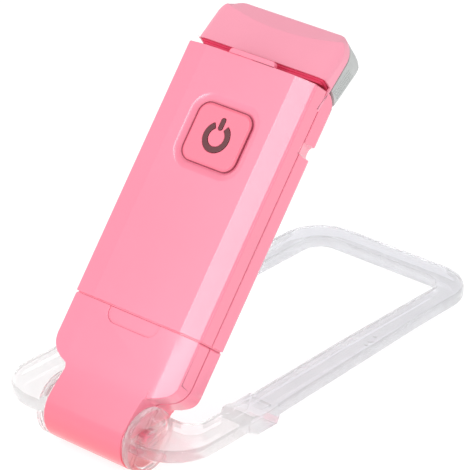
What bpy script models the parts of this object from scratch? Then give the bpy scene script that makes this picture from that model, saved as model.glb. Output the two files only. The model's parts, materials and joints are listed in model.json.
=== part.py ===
"""Clip-on reading lamp: slim body, tilting head, pull-off cap, clear loop bracket.

Built in metres, +Z up.  The lamp stands on its bracket: the bracket reaches
back along +Y, its ears and its far bar rest on z = 0, and the body leans back
over it.  The origin is under the middle of the footprint.

Three working frames are used, each carried by an empty on a joint's axis:
  body frame    x across, y from front to back, z up the long axis, origin on
                the seam between cap and housing (the cap's slide axis)
  bracket frame x across, y along the arms, z above the arms, origin on the pivot
  head frame    x across, y front to back, z up the head, origin on the hinge
"""

import math

import bmesh
import bpy
from mathutils import Matrix, Vector

MM = 0.001

# Overall proportions (mm)
BODY_W = 36.0             # width of housing and cap
HOUSING_L = 60.0          # seam to top edge
FRONT_Y = -5.6            # flat middle of the front face
EDGE_Y = -4.8             # front face at its long edges, after the facet
REAR_Y = 4.9              # rear face
FACET_W = 5.5             # shallow facet along each long front edge
PART_Y = -0.4             # parting plane between front and rear shells
WALL = 1.3
GAP = 0.3                 # clearance between neighbouring pieces
SEAM = 0.15               # half of the seam between cap and housing

# Pivot, barrel and bracket (mm, degrees)
PIVOT_Z = -23.2           # pivot axis below the seam
BARREL_R = 7.25
NECK_HW = 11.0            # half width of neck and barrel
EAR_R = 7.25
EAR_IN = 11.35
EAR_OUT = 13.25
EAR_HOLE_R = 1.9
BUSH_R = 1.8
PLATE_LO, PLATE_HI = 0.2, 3.2   # arm thickness, measured above the pivot plane
FAR_IN, FAR_OUT = 94.5, 101.3   # far bar
ARM_ANGLE = 51.6          # between the bracket's arms and the body's long axis
REST_TRIM = 0.15          # flats where ears and far bar meet the table

# Head (mm, degrees)
HINGE_Y, HINGE_Z = -1.1, 54.0
HEAD_LEAN = 17.0
ROUND_R = 6.0             # rounded top of the housing, concentric with the hinge
HEAD_HW = 18.0
HEAD_FRONT, HEAD_REAR = -3.9, 4.5
HEAD_BOTTOM, HEAD_RIDGE = 7.28, 19.03
HUB_R = 2.0
PIN_R = 0.8

# Power button (mm)
BUTTON_Z = 41.8
BUTTON_W, BUTTON_H, BUTTON_R = 14.5, 13.2, 2.7

# Charging plug (mm)
PLUG_W, PLUG_T, PLUG_OUT = 12.0, 4.5, 12.0
PLUG_Y = -0.35

# Derived placing of the body over the table
TABLE_TILT = math.degrees(math.atan(PLATE_LO / FAR_OUT) + math.asin(EAR_R / FAR_OUT))
BODY_LEAN = 90.0 - ARM_ANGLE + TABLE_TILT
PIVOT_HEIGHT = EAR_R - REST_TRIM


# ---------------------------------------------------------------- materials
def material(name, rgb, roughness=0.4, metallic=0.0, transmission=0.0):
    """Make one Principled material."""
    mat = bpy.data.materials.new(name)
    mat.use_nodes = True
    bsdf = mat.node_tree.nodes["Principled BSDF"]
    bsdf.inputs["Base Color"].default_value = (*rgb, 1.0)
    bsdf.inputs["Roughness"].default_value = roughness
    bsdf.inputs["Metallic"].default_value = metallic
    bsdf.inputs["Transmission Weight"].default_value = transmission
    mat.diffuse_color = (*rgb, 1.0)
    return mat


# ------------------------------------------------------------------ outlines
def rounded_rect(width, height, radius, cx=0.0, cy=0.0, steps=5):
    """Corner-rounded rectangle, anticlockwise."""
    points = []
    for quarter in range(4):
        sx = (1, -1, -1, 1)[quarter]
        sy = (1, 1, -1, -1)[quarter]
        ox = cx + sx * (width / 2 - radius)
        oy = cy + sy * (height / 2 - radius)
        for k in range(steps + 1):
            a = math.radians(90.0 * quarter + 90.0 * k / steps)
            points.append((ox + radius * math.cos(a), oy + radius * math.sin(a)))
    return points


def arc(cx, cy, radius, start, end, steps):
    """Points along an arc, angles in degrees."""
    span = end - start
    return [(cx + radius * math.cos(math.radians(start + span * k / steps)),
             cy + radius * math.sin(math.radians(start + span * k / steps)))
            for k in range(steps + 1)]


def mirrored(points):
    """Close a right-hand outline with its mirror image in x."""
    return points + [(-x, y) for x, y in reversed(points) if abs(x) > 1e-6]


# -------------------------------------------------------------------- solids
def add_mesh(name, verts, faces):
    """Object from vertices in millimetres, with its faces turned outward."""
    bm = bmesh.new()
    made = [bm.verts.new([c * MM for c in v]) for v in verts]
    for face in faces:
        bm.faces.new([made[i] for i in face])
    bmesh.ops.recalc_face_normals(bm, faces=bm.faces)
    mesh = bpy.data.meshes.new(name)
    bm.to_mesh(mesh)
    bm.free()
    obj = bpy.data.objects.new(name, mesh)
    bpy.context.scene.collection.objects.link(obj)
    return obj


def place(axis, a, b, c):
    """Point from two outline coordinates and one along the axis."""
    return {"X": (c, a, b), "Y": (a, c, b), "Z": (a, b, c)}[axis]


def loft(name, rings):
    """Closed solid through rings of equal length."""
    count = len(rings[0])
    verts = [p for ring in rings for p in ring]
    faces = []
    for r in range(len(rings) - 1):
        for k in range(count):
            n = (k + 1) % count
            faces.append((r * count + k, r * count + n,
                          (r + 1) * count + n, (r + 1) * count + k))
    faces.append(tuple(range(count)))
    faces.append(tuple((len(rings) - 1) * count + k for k in range(count)))
    return add_mesh(name, verts, faces)


def taper(name, axis, low, high, lo, hi):
    """Solid between two outlines at two positions along an axis."""
    return loft(name, [[place(axis, a, b, lo) for a, b in low],
                       [place(axis, a, b, hi) for a, b in high]])


def prism(name, axis, outline, lo, hi):
    """Outline extruded along an axis."""
    return taper(name, axis, outline, outline, lo, hi)


def box(name, x, y, z):
    """Box from three (low, high) pairs."""
    return prism(name, "Z", [(x[0], y[0]), (x[1], y[0]), (x[1], y[1]), (x[0], y[1])], *z)


def rod(name, axis, centre, radius, lo, hi, sides=24):
    """Cylinder along an axis."""
    ring = [(centre[0] + radius * math.cos(2 * math.pi * (k + 0.5) / sides),
             centre[1] + radius * math.sin(2 * math.pi * (k + 0.5) / sides))
            for k in range(sides)]
    return prism(name, axis, ring, lo, hi)


def combine(target, tool, operation):
    """Apply one exact boolean and discard the tool."""
    mod = target.modifiers.new("combine", "BOOLEAN")
    mod.operation = operation
    mod.solver = "EXACT"
    mod.object = tool
    graph = bpy.context.evaluated_depsgraph_get()
    graph.update()
    mesh = bpy.data.meshes.new_from_object(target.evaluated_get(graph))
    target.modifiers.remove(mod)
    old = target.data
    target.data = mesh
    bpy.data.meshes.remove(old)
    spent = tool.data
    bpy.data.objects.remove(tool)
    bpy.data.meshes.remove(spent)
    return target


def cut(target, *tools):
    """Subtract every tool."""
    for tool in tools:
        combine(target, tool, "DIFFERENCE")
    return target


def join(target, *tools):
    """Unite with every tool."""
    for tool in tools:
        combine(target, tool, "UNION")
    return target


def keep(target, *tools):
    """Keep only what lies inside every tool."""
    for tool in tools:
        combine(target, tool, "INTERSECT")
    return target


def duplicate(obj, name):
    """Independent copy of an object and its mesh."""
    copy = obj.copy()
    copy.data = obj.data.copy()
    copy.name = name
    bpy.context.scene.collection.objects.link(copy)
    return copy


def frame(name, parent, location, lean=0.0):
    """Empty that carries a working frame, leaning back by an angle about X."""
    empty = bpy.data.objects.new(name, None)
    empty.empty_display_size = 0.01
    bpy.context.scene.collection.objects.link(empty)
    empty.parent = parent
    empty.location = Vector(location) * MM
    empty.rotation_euler = (-math.radians(lean), 0.0, 0.0)
    return empty


def finish(obj, name, mat, parent, offset=(0.0, 0.0, 0.0)):
    """Name, shade, colour and place one finished piece.

    The mesh was modelled in the body frame; offset is the parent's position
    there, so the piece keeps its place.
    """
    obj.name = name
    obj.data.name = name
    shift = Vector(offset) * MM
    if shift.length > 0.0:
        obj.data.transform(Matrix.Translation(-shift))
    obj.data.materials.clear()
    obj.data.materials.append(mat)
    obj.data.shade_smooth()
    obj.data.set_sharp_from_angle(angle=math.radians(32.0))
    obj.parent = parent
    return obj


# ------------------------------------------------------------ housing shells
def body_section(inset=0.0, radius=1.4):
    """Cross-section of housing and cap, seen along the long axis."""
    hw = BODY_W / 2 - inset
    flat = BODY_W / 2 - FACET_W
    front, edge, rear = FRONT_Y + inset, EDGE_Y + inset, REAR_Y - inset
    right = [(0.0, front), (flat, front), (hw - 0.5, edge - 0.02), (hw - 0.1, edge + 0.12),
             (hw, edge + 0.5)]
    right += arc(hw - radius, rear - radius, radius, 0, 90, 5)
    return mirrored(right + [(0.0, rear)])


def housing_outer(name):
    """Solid outer form of the housing, before it is hollowed and split."""
    body = prism(name, "Z", body_section(), SEAM, HOUSING_L + 2)
    side = [(FRONT_Y - 2, SEAM - 1), (REAR_Y, SEAM - 1)]
    side += arc(HINGE_Y, HINGE_Z, ROUND_R, 0, 90, 14)
    side += [(FRONT_Y - 2, HOUSING_L)]
    half = BODY_W / 2
    top = [(half + 1, SEAM - 1), (half + 1, HOUSING_L - 0.9), (half, HOUSING_L - 0.75),
           (half - 0.12, HOUSING_L - 0.42), (half - 0.45, HOUSING_L - 0.25)]
    top += [(x, HOUSING_L - 0.2 * (x / half) ** 2) for x in (15.0, 12.0, 9.0, 6.0, 3.0, 0.0)]
    return keep(body, prism("side", "X", side, -half - 2, half + 2),
                prism("top", "Y", mirrored(top), FRONT_Y - 3, REAR_Y + 3))


def housing_cavity():
    """Room inside the housing."""
    inner_r = ROUND_R - WALL
    side = [(FRONT_Y + WALL, 1.6), (REAR_Y - WALL, 1.6)]
    side += arc(HINGE_Y, HINGE_Z, inner_r, 0, 90, 8)
    side += [(FRONT_Y + WALL, HINGE_Z + inner_r)]
    return prism("cavity", "X", side, -15.7, 15.7)


SCREWS = [(sx * 12.8, z) for sx in (1, -1) for z in (5.3, 51.5)]


def side_groove(side):
    """Finger groove on one side wall, ramping deeper toward the back."""
    x = side * BODY_W / 2
    low = rounded_rect(0.1, 2.6, 0.04, x + side * 0.3, 46.4, 3)
    high = rounded_rect(4.6, 3.0, 1.1, x + side * 0.3, 46.4, 3)
    return taper("groove", "Y", low, high, PART_Y - 1.4, REAR_Y + 0.8)


def make_housing(skin, parent):
    """Front and rear shells."""
    whole = housing_outer("whole")
    cut(whole, housing_cavity(), side_groove(1), side_groove(-1))
    cut(whole, box("plug_way", (-PLUG_W / 2 - GAP, PLUG_W / 2 + GAP),
                   (PLUG_Y - PLUG_T / 2 - GAP, PLUG_Y + PLUG_T / 2 + GAP), (-1, 3)))
    rear = duplicate(whole, "rear")
    front = whole
    keep(front, box("front_half", (-30, 30), (-20, PART_Y - GAP / 2), (-5, 70)))
    keep(rear, box("rear_half", (-30, 30), (PART_Y + GAP / 2, 20), (-5, 70)))

    # raised tab in the middle of the front shell's top edge
    tab = rounded_rect(12.6, 3.4, 0.9, 0.0, HOUSING_L - 0.5, 4)
    join(front, prism("tab", "Y", tab, FRONT_Y + 0.02, FRONT_Y + WALL))
    # bosses for the screws, and two lugs that carry the head's hinge pin
    for x, z in SCREWS:
        join(front, rod("boss", "Y", (x, z), 2.0, FRONT_Y + WALL - 0.3, PART_Y - GAP / 2, 16))
        cut(front, rod("pilot", "Y", (x, z), 0.95, FRONT_Y + WALL + 0.6, 0.0, 12))
        join(rear, rod("boss", "Y", (x, z), 2.4, PART_Y + GAP / 2, REAR_Y - WALL + 0.3, 16))
        cut(rear, rod("bore", "Y", (x, z), 1.05, -2.0, REAR_Y, 12),
            rod("sink", "Y", (x, z), 1.9, REAR_Y - 1.3, REAR_Y + 1.0, 20))
    for side in (1, -1):
        lug = rounded_rect(2 * (HINGE_Y - FRONT_Y - WALL + 0.3), 4.6, 1.6,
                           HINGE_Y, HINGE_Z, 4)
        lo, hi = sorted((side * 5.7, side * 7.9))
        join(front, prism("lug", "X", lug, lo, hi))
        cut(front, rod("pin_hole", "X", (HINGE_Y, HINGE_Z), PIN_R + 0.06, lo - 0.1, hi + 0.1, 16))
    # slot over the rounded top for the head's neck
    cut(rear, box("slot", (-5.7, 5.7), (-3.0, 8.0), (54.4, 62.0)))

    # dished recess and opening for the power button
    centre = (0.0, BUTTON_Z)
    deep = rounded_rect(BUTTON_W + 1.0, BUTTON_H + 1.0, BUTTON_R + 0.4, *centre)
    wide = rounded_rect(BUTTON_W + 3.4, BUTTON_H + 3.4, BUTTON_R + 1.4, *centre)
    cut(front, taper("dish", "Y", wide, deep, FRONT_Y - 0.02, FRONT_Y + 0.55),
        prism("mouth", "Y", rounded_rect(BUTTON_W + 2 * GAP, BUTTON_H + 2 * GAP,
                                         BUTTON_R + GAP, *centre), FRONT_Y - 1, -3.0))
    finish(front, "front_shell", skin, parent)
    finish(rear, "rear_shell", skin, parent)


def make_screws(name, spots, steel, parent, offset=(0.0, 0.0, 0.0)):
    """Self-tapping screws driven from the back, cross recessed."""
    for number, (x, z) in enumerate(spots, 1):
        screw = rod("screw", "Y", (x, z), 1.6, REAR_Y - 1.15, REAR_Y - 0.2, 20)
        join(screw, rod("shank", "Y", (x, z), 0.8, -3.4, REAR_Y - 1.0, 12))
        for w, h in ((1.7, 0.45), (0.45, 1.7)):
            cut(screw, box("cross", (x - w / 2, x + w / 2), (REAR_Y - 0.6, REAR_Y + 0.2),
                           (z - h / 2, z + h / 2)))
        finish(screw, f"{name}_{number}", steel, parent, offset)


# ----------------------------------------------------------- housing contents
def make_contents(mats, parent):
    """Boards, cell, switch, charging plug and hinge pin."""
    board = prism("board", "Y", rounded_rect(20.4, 16.4, 0.8, 0.0, 42.0, 3), -0.9, -0.1)
    finish(board, "main_board", mats["board"], parent)
    switch = box("switch", (-3.0, 3.0), (-2.4, -1.0), (BUTTON_Z - 3.0, BUTTON_Z + 3.0))
    join(switch, rod("stem", "Y", (0.0, BUTTON_Z), 1.6, -2.9, -2.2, 20))
    finish(switch, "tact_switch", mats["black"], parent)
    for name, x, z, w, h, t in (("control_chip", 0.0, 43.6, 5.0, 4.0, 1.3),
                                ("charge_chip", -6.4, 39.0, 2.9, 2.8, 1.0),
                                ("boost_coil", 6.0, 39.4, 4.0, 4.0, 1.6)):
        chip = box("chip", (x - w / 2, x + w / 2), (0.15, t + 0.15), (z - h / 2, z + h / 2))
        finish(chip, name, mats["black"], parent)

    cell = prism("cell", "Y", rounded_rect(29.0, 23.0, 1.2, 0.0, 21.6, 3), -3.4, 1.7)
    finish(cell, "battery_cell", mats["foil"], parent)
    pad = prism("pad", "Y", rounded_rect(24.0, 17.0, 0.6, 0.0, 21.6, 2), 2.0, 3.3)
    finish(pad, "battery_pad", mats["foam"], parent)

    front, back = PLUG_Y - PLUG_T / 2, PLUG_Y + PLUG_T / 2
    shell = box("plug", (-PLUG_W / 2, PLUG_W / 2), (front, back), (-PLUG_OUT, 6.6))
    cut(shell, box("bore", (-PLUG_W / 2 + 0.35, PLUG_W / 2 - 0.35),
                   (front + 0.35, back - 0.35), (-PLUG_OUT - 1, 6.1)))
    for x in (-2.9, 2.9):
        cut(shell, box("window", (x - 1.1, x + 1.1), (front - 1, back + 1),
                       (-PLUG_OUT + 5.0, -PLUG_OUT + 7.4)))
    finish(shell, "usb_shell", mats["steel"], parent)
    tongue = box("tongue", (-5.35, 5.35), (PLUG_Y + 0.1, back - 0.55), (-PLUG_OUT + 0.6, 5.7))
    finish(tongue, "usb_tongue", mats["white"], parent)
    for number, x in enumerate((-3.5, -1.0, 1.0, 3.5), 1):
        strip = box("strip", (x - 0.5, x + 0.5), (PLUG_Y - 0.2, PLUG_Y), (-PLUG_OUT + 1.2, 3.0))
        finish(strip, f"usb_contact_{number}", mats["gold"], parent)
    carrier = prism("carrier", "Y", rounded_rect(17.0, 6.0, 0.5, 0.0, 5.0, 2),
                    back + GAP, back + GAP + 0.8)
    finish(carrier, "usb_board", mats["board"], parent)
    pin = rod("pin", "X", (HINGE_Y, HINGE_Z), PIN_R, -8.6, 8.6, 16)
    finish(pin, "hinge_pin", mats["steel"], parent)


# -------------------------------------------------------------- power button
def power_ring(grow=0.0):
    """Outline of the open ring of the power symbol."""
    outer, inner, half_gap = 3.45 + grow, 2.2 - grow, 33.0
    start, end = 90.0 + half_gap, 450.0 - half_gap
    trim = math.degrees(grow / 2.8)
    return (arc(0.0, BUTTON_Z - 0.15, outer, start - trim, end + trim, 26)
            + arc(0.0, BUTTON_Z - 0.15, inner, end + trim, start - trim, 26))


def make_button(mats, parent, offset):
    """Square push button with its inlaid symbol."""
    face_y = FRONT_Y + 0.12
    outline = rounded_rect(BUTTON_W, BUTTON_H, BUTTON_R, 0.0, BUTTON_Z)
    crown = rounded_rect(BUTTON_W - 0.7, BUTTON_H - 0.7, BUTTON_R - 0.35, 0.0, BUTTON_Z)
    body = taper("crown", "Y", crown, outline, face_y, face_y + 0.3)
    join(body, prism("skirt", "Y", outline, face_y + 0.29, -3.6),
         prism("flange", "Y", rounded_rect(BUTTON_W + 2.2, BUTTON_H + 2.0, 2.0, 0.0, BUTTON_Z),
               -4.0, -3.5),
         rod("post", "Y", (0.0, BUTTON_Z), 1.8, -3.6, -3.35, 20))
    bar = rounded_rect(1.05, 2.7, 0.5, 0.0, BUTTON_Z + 2.95, 4)
    bar_room = rounded_rect(1.25, 2.9, 0.6, 0.0, BUTTON_Z + 2.95, 4)
    cut(body, prism("ring_room", "Y", power_ring(0.1), face_y - 1, face_y + 0.4),
        prism("bar_room", "Y", bar_room, face_y - 1, face_y + 0.4))
    finish(body, "power_button", mats["button"], parent, offset)
    for name, outline in (("symbol_ring", power_ring()), ("symbol_bar", bar)):
        mark = prism(name, "Y", outline, face_y - 0.04, face_y + 0.3)
        finish(mark, name, mats["symbol"], parent, offset)


# ---------------------------------------------------------------------- head
def head_section(x):
    """Side profile of the head at one position across its width."""
    reach = abs(x)
    over = max(0.0, reach - 14.2)
    ceiling = HEAD_RIDGE - (3.8 - math.sqrt(max(0.0, 3.8 ** 2 - over ** 2)))
    crease = 14.3 + 2.6 * (reach / HEAD_HW) ** 2
    front = HEAD_FRONT + 1.3 * (max(0.0, reach - 16.0) / 2.0) ** 1.6
    rear = HEAD_REAR - 0.8 * (max(0.0, reach - 16.5) / 1.5) ** 1.6
    profile = [(front, HEAD_BOTTOM), (front, min(crease, ceiling - 0.5)),
               (front * 0.62, HEAD_RIDGE), (1.0, 18.6), (2.6, 17.9), (3.8, 16.8),
               (rear, 15.2), (rear, 1.0), (-0.6, 1.0), (-0.6, HEAD_BOTTOM)]
    return [(x, y, min(z, ceiling)) for y, z in profile]


def head_outer(name):
    """Solid outer form of the head in the head frame."""
    half = [14.2 + 3.8 * math.sin(math.radians(a)) for a in (90, 66, 46, 28, 12)]
    half += [14.2, 9.5, 4.8]
    stations = [-x for x in half] + [0.0] + half[::-1]
    return loft(name, [head_section(x) for x in stations])


def lens_side(extra):
    """Region behind the slanted joint between cover and lens."""
    low, high = 0.2 + extra, -1.0 + extra
    return prism("lens_side", "X", [(low + 0.8, 0.0), (12.0, 0.0), (12.0, 24.0),
                                    (high - 0.75, 24.0)], -20, 20)


def make_head(mats, parent):
    """Cover, lens, base with its neck, LED board and LEDs, in the head frame."""
    cover = head_outer("cover")
    cut(cover, lens_side(-GAP), box("under", (-20, 20), (-20, 20), (-1, HEAD_BOTTOM)),
        prism("room", "Y", rounded_rect(32.8, 8.2, 1.5, 0.0, 12.6, 3), -2.6, 6.0))
    finish(cover, "head_cover", mats["head"], parent)

    lens = keep(head_outer("lens"), lens_side(0.0))
    cut(lens, box("room", (-16.8, 16.8), (-4.0, 3.4), (-2.0, 15.4)),
        rod("sweep", "X", (0.0, 0.0), ROUND_R + 0.7, -20, 20, 64))
    finish(lens, "head_lens", mats["lens"], parent)

    under = arc(0.0, 0.0, ROUND_R + 0.45, 116, 60, 12)
    slab = [(-2.75, HEAD_BOTTOM - GAP), (-2.75, 5.9)] + under[1:-1] + [(3.1, HEAD_BOTTOM - GAP)]
    base = prism("base", "X", slab, -16.4, 16.4)
    join(base, box("neck", (-5.3, 5.3), (-0.5, 1.8), (0.5, 6.7)),
         rod("hub", "X", (0.0, 0.0), HUB_R, -5.3, 5.3, 24))
    cut(base, rod("bore", "X", (0.0, 0.0), PIN_R + 0.06, -6, 6, 16))
    finish(base, "head_base", mats["deep"], parent)

    board = prism("led_board", "Y", rounded_rect(31.0, 6.6, 0.5, 0.0, 12.6, 2), -2.2, -1.4)
    finish(board, "led_board", mats["white"], parent)
    for number, x in enumerate((-12.4, -6.2, 0.0, 6.2, 12.4), 1):
        led = box("led", (x - 1.4, x + 1.4), (-1.25, -0.6), (11.2, 14.0))
        finish(led, f"led_{number}", mats["led"], parent)


# ----------------------------------------------------------------------- cap
def cap_outline():
    """Front view of the cap: straight sides, round shoulders, straight neck."""
    hw = BODY_W / 2 - 0.15
    right = [(0.0, -SEAM), (hw - 0.4, -SEAM), (hw, -SEAM - 0.4)]
    right += arc(hw - 5.0, -9.4, 5.0, 0, -60, 9)
    right += [(13.9, -14.5), (12.5, -14.95), (11.6, -15.4), (11.15, -15.9), (NECK_HW, -16.6),
              (NECK_HW, PIVOT_Z - BARREL_R - 1), (0.0, PIVOT_Z - BARREL_R - 1)]
    return mirrored(right)


def neck_profile():
    """Side view of the neck swelling into the barrel."""
    bottom = arc(0.0, PIVOT_Z, BARREL_R, 184, 356, 26)
    return [(4.6, -8.0), (FRONT_Y + 0.2, -8.0), (FRONT_Y + 0.1, -12.0), (-5.8, -15.0),
            (-6.3, -17.8), (-6.85, -20.4)] + bottom + [(6.7, -19.6), (6.0, -16.2),
                                                       (5.35, -13.0), (4.85, -10.5)]


def make_cap(mats, parent, offset):
    """Pull-off cap in two shells, with liner, bushes and screws."""
    whole = prism("cap", "Z", body_section(0.1), -16.5, 0.0)
    join(whole, prism("neck", "X", neck_profile(), -NECK_HW - 0.5, NECK_HW + 0.5))
    keep(whole, prism("outline", "Y", cap_outline(), -12, 12))
    cut(whole, box("well", (-7.7, 7.7), (PLUG_Y - 3.75, PLUG_Y + 3.75), (-14.6, 1.0)),
        rod("core", "X", (0.0, PIVOT_Z), 4.6, -7.4, 7.4, 24))
    thumb = [(-7.1, 1.0), (-7.1, -1.0)] + arc(-4.6, -1.0, 2.5, 180, 270, 5)[1:]
    thumb += arc(4.6, -1.0, 2.5, 270, 360, 5) + [(7.1, 1.0)]
    cut(whole, prism("thumb", "Y", thumb, FRONT_Y - 2, FRONT_Y + 0.45))
    for side in (1, -1):
        lo, hi = sorted((side * 8.9, side * 12.0))
        cut(whole, rod("seat", "X", (0.0, PIVOT_Z), BUSH_R + 0.08, lo, hi, 20))
    rear = duplicate(whole, "cap_back")
    keep(whole, box("front_half", (-30, 30), (-20, PART_Y - GAP / 2), (-40, 5)))
    keep(rear, box("rear_half", (-30, 30), (PART_Y + GAP / 2, 20), (-40, 5)))
    spots = [(11.6, -6.4), (-11.6, -6.4)]
    for x, z in spots:
        cut(whole, rod("pilot", "Y", (x, z), 0.95, -3.9, 0.0, 12))
        cut(rear, rod("bore", "Y", (x, z), 1.05, -2.0, REAR_Y, 12),
            rod("sink", "Y", (x, z), 1.9, REAR_Y - 1.3, REAR_Y + 1.0, 20))
    finish(whole, "cap_front", mats["skin"], parent, offset)
    finish(rear, "cap_rear", mats["skin"], parent, offset)
    make_screws("cap_screw", spots, mats["steel"], parent, offset)

    liner = box("liner", (-7.3, 7.3), (PLUG_Y - 3.35, PLUG_Y + 3.35), (-14.2, -0.7))
    cut(liner, box("way", (-PLUG_W / 2 - GAP, PLUG_W / 2 + GAP),
                   (PLUG_Y - PLUG_T / 2 - GAP, PLUG_Y + PLUG_T / 2 + GAP), (-13.0, 1.0)))
    finish(liner, "plug_liner", mats["white"], parent, offset)

    for name, side in (("pivot_bush_right", 1), ("pivot_bush_left", -1)):
        bush = rod("bush", "X", (0.0, PIVOT_Z), BUSH_R, *sorted((side * 9.1, side * 13.1)), 20)
        finish(bush, name, mats["deep"], parent, offset)


# ------------------------------------------------------------------- bracket
def arm_outer(y):
    """Outer half width of the loop at a distance from the pivot."""
    return 27.2 - 2.2 * max(0.0, min(1.0, (y - 24.0) / 56.0))


def arm_inner(y):
    """Inner half width of the loop at a distance from the pivot."""
    return 19.2 - 0.8 * max(0.0, min(1.0, (y - 24.0) / 36.0))


def bracket_outline():
    """Plan view of the flat loop, open between the ears."""
    outer = [(EAR_IN + 0.2, -7.0), (16.0, -7.2), (19.2, -6.7), (22.0, -5.6), (24.4, -3.8),
             (26.1, -1.4), (26.9, 1.6)]
    outer += [(arm_outer(y), y) for y in (5.0, 14.0, 24.0, 38.0, 52.0, 66.0, 80.0)]
    corner = 11.0
    hw = arm_outer(90.0)
    outer += arc(hw - corner, FAR_OUT - corner, corner, 0, 90, 9)
    inner_hw, bend = arm_inner(90.0), 4.2
    inner = arc(inner_hw - bend, FAR_IN - bend, bend, 90, 0, 5)
    inner += [(arm_inner(y), y) for y in (80.0, 60.0, 42.0, 24.0, 12.5)]
    inner += [(18.8, 10.2), (17.6, 8.4), (15.8, 7.2), (EAR_IN + 0.2, 6.6)]
    right = outer + inner
    # walk: right ear, round the outside to the left ear, back round the inside
    path = outer + [(-x, y) for x, y in reversed(outer)]
    path += [(-x, y) for x, y in reversed(inner)] + inner
    assert len(path) == 2 * len(right)
    return path


def arm_step(side):
    """Thickened step moulded across one arm, with a low foot under it."""
    inner, outer = arm_inner(20.0), arm_outer(20.0)
    profile = [(15.6, PLATE_HI - 0.4), (16.4, PLATE_HI + 0.7), (18.0, PLATE_HI + 0.7),
               (19.4, PLATE_HI + 0.15), (25.6, PLATE_HI + 0.15), (25.6, PLATE_LO + 0.4),
               (24.8, PLATE_LO - 1.2), (18.6, PLATE_LO - 1.2), (15.6, PLATE_LO + 0.3)]
    lo, hi = sorted((side * (inner - 0.1), side * (outer + 0.3)))
    return prism("step", "X", profile, lo, hi)


def make_bracket(clear, parent):
    """Clear one-piece loop with two round ears, in the bracket frame."""
    loop = prism("loop", "Z", bracket_outline(), PLATE_LO, PLATE_HI)
    soft = loop.modifiers.new("edges", "BEVEL")
    soft.width = 0.0007
    soft.segments = 2
    soft.limit_method = "ANGLE"
    soft.angle_limit = math.radians(50.0)
    graph = bpy.context.evaluated_depsgraph_get()
    graph.update()
    loop.data = bpy.data.meshes.new_from_object(loop.evaluated_get(graph))
    loop.modifiers.clear()
    for side in (1, -1):
        lo, hi = sorted((side * EAR_IN, side * EAR_OUT))
        join(loop, rod("ear", "X", (0.0, 0.0), EAR_R, lo, hi, 48))
        join(loop, arm_step(side))
        pocket = [(20.6, PLATE_HI + 0.2), (24.6, PLATE_HI + 0.2), (24.6, PLATE_HI - 0.5)]
        lo, hi = sorted((side * 20.4, side * 25.8))
        cut(loop, prism("pocket", "X", [(y, z + 0.02) for y, z in pocket], lo, hi))
        lo, hi = sorted((side * (EAR_IN - 1), side * (EAR_OUT + 0.2)))
        cut(loop, rod("hole", "X", (0.0, 0.0), EAR_HOLE_R, lo, hi, 20))
        nub = rod("nub", "Z", (side * 24.2, 61.0), 0.9, PLATE_HI - 0.5, PLATE_HI + 0.45, 14)
        join(loop, nub)
    # flats that rest on the table, cut in a plane tilted to the arms
    slab = box("table", (-60, 60), (-60, 160), (-30.0, 0.0))
    slab.data.transform(Matrix.Translation((0, 0, -PIVOT_HEIGHT * MM)))
    slab.data.transform(Matrix.Rotation(math.radians(TABLE_TILT), 4, "X"))
    cut(loop, slab)
    finish(loop, "bracket", clear, parent)


# ------------------------------------------------------------------ assembly
def far_reach():
    """How far back the bracket reaches from the pivot, level with the table."""
    tilt = math.radians(TABLE_TILT)
    return FAR_OUT * math.cos(tilt) + (PLATE_HI - 0.7) * math.sin(tilt)


def main():
    """Build every piece and set it in its working frame."""
    for obj in list(bpy.data.objects):
        bpy.data.objects.remove(obj)
    mats = {
        "skin": material("pink_gloss", (0.92, 0.30, 0.38), 0.28),
        "head": material("pink_satin", (0.88, 0.30, 0.40), 0.36),
        "deep": material("deep_pink", (0.78, 0.06, 0.15), 0.4),
        "button": material("pink_button", (0.93, 0.22, 0.32), 0.32),
        "symbol": material("maroon_ink", (0.13, 0.03, 0.04), 0.25),
        "clear": material("clear_plastic", (0.93, 0.94, 0.97), 0.08, 0.0, 0.9),
        "lens": material("frosted_lens", (0.62, 0.64, 0.63), 0.45, 0.0, 0.3),
        "steel": material("steel", (0.62, 0.62, 0.62), 0.3, 1.0),
        "gold": material("gold_contact", (0.83, 0.62, 0.25), 0.3, 1.0),
        "board": material("circuit_board", (0.02, 0.16, 0.07), 0.5),
        "black": material("black_plastic", (0.03, 0.03, 0.03), 0.4),
        "white": material("white_plastic", (0.85, 0.85, 0.83), 0.45),
        "foil": material("cell_foil", (0.70, 0.71, 0.72), 0.35, 0.8),
        "foam": material("grey_foam", (0.25, 0.25, 0.26), 0.9),
        "led": material("led_emitter", (0.95, 0.85, 0.45), 0.3),
    }
    pivot = (0.0, -(far_reach() - BARREL_R) / 2, PIVOT_HEIGHT)
    stand = frame("stand_frame", None, pivot, TABLE_TILT)
    cap = frame("cap_frame", None, pivot, BODY_LEAN)
    housing = frame("housing_frame", cap, (0.0, 0.0, -PIVOT_Z))
    press = frame("button_frame", housing, (0.0, FRONT_Y, BUTTON_Z))
    head = frame("head_frame", housing, (0.0, HINGE_Y, HINGE_Z), HEAD_LEAN)

    make_bracket(mats["clear"], stand)
    make_cap(mats, cap, (0.0, 0.0, PIVOT_Z))
    make_housing(mats["skin"], housing)
    make_screws("shell_screw", SCREWS, mats["steel"], housing)
    make_contents(mats, housing)
    make_button(mats, press, (0.0, FRONT_Y, BUTTON_Z))
    make_head(mats, head)


main()
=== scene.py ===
"""Clip-on reading lamp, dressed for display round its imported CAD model.

The lamp is a slim pink body that leans back over a clear loop bracket.  Every
piece is modelled in millimetres in the working frame of its sub-assembly and
settled into the row frame, in metres, when it is finished.
"""

import json
import logging
import math
from dataclasses import dataclass, field
from enum import Enum
from typing import Iterable, Optional, Sequence

import bmesh
import bpy
from mathutils import Matrix, Vector


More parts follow.
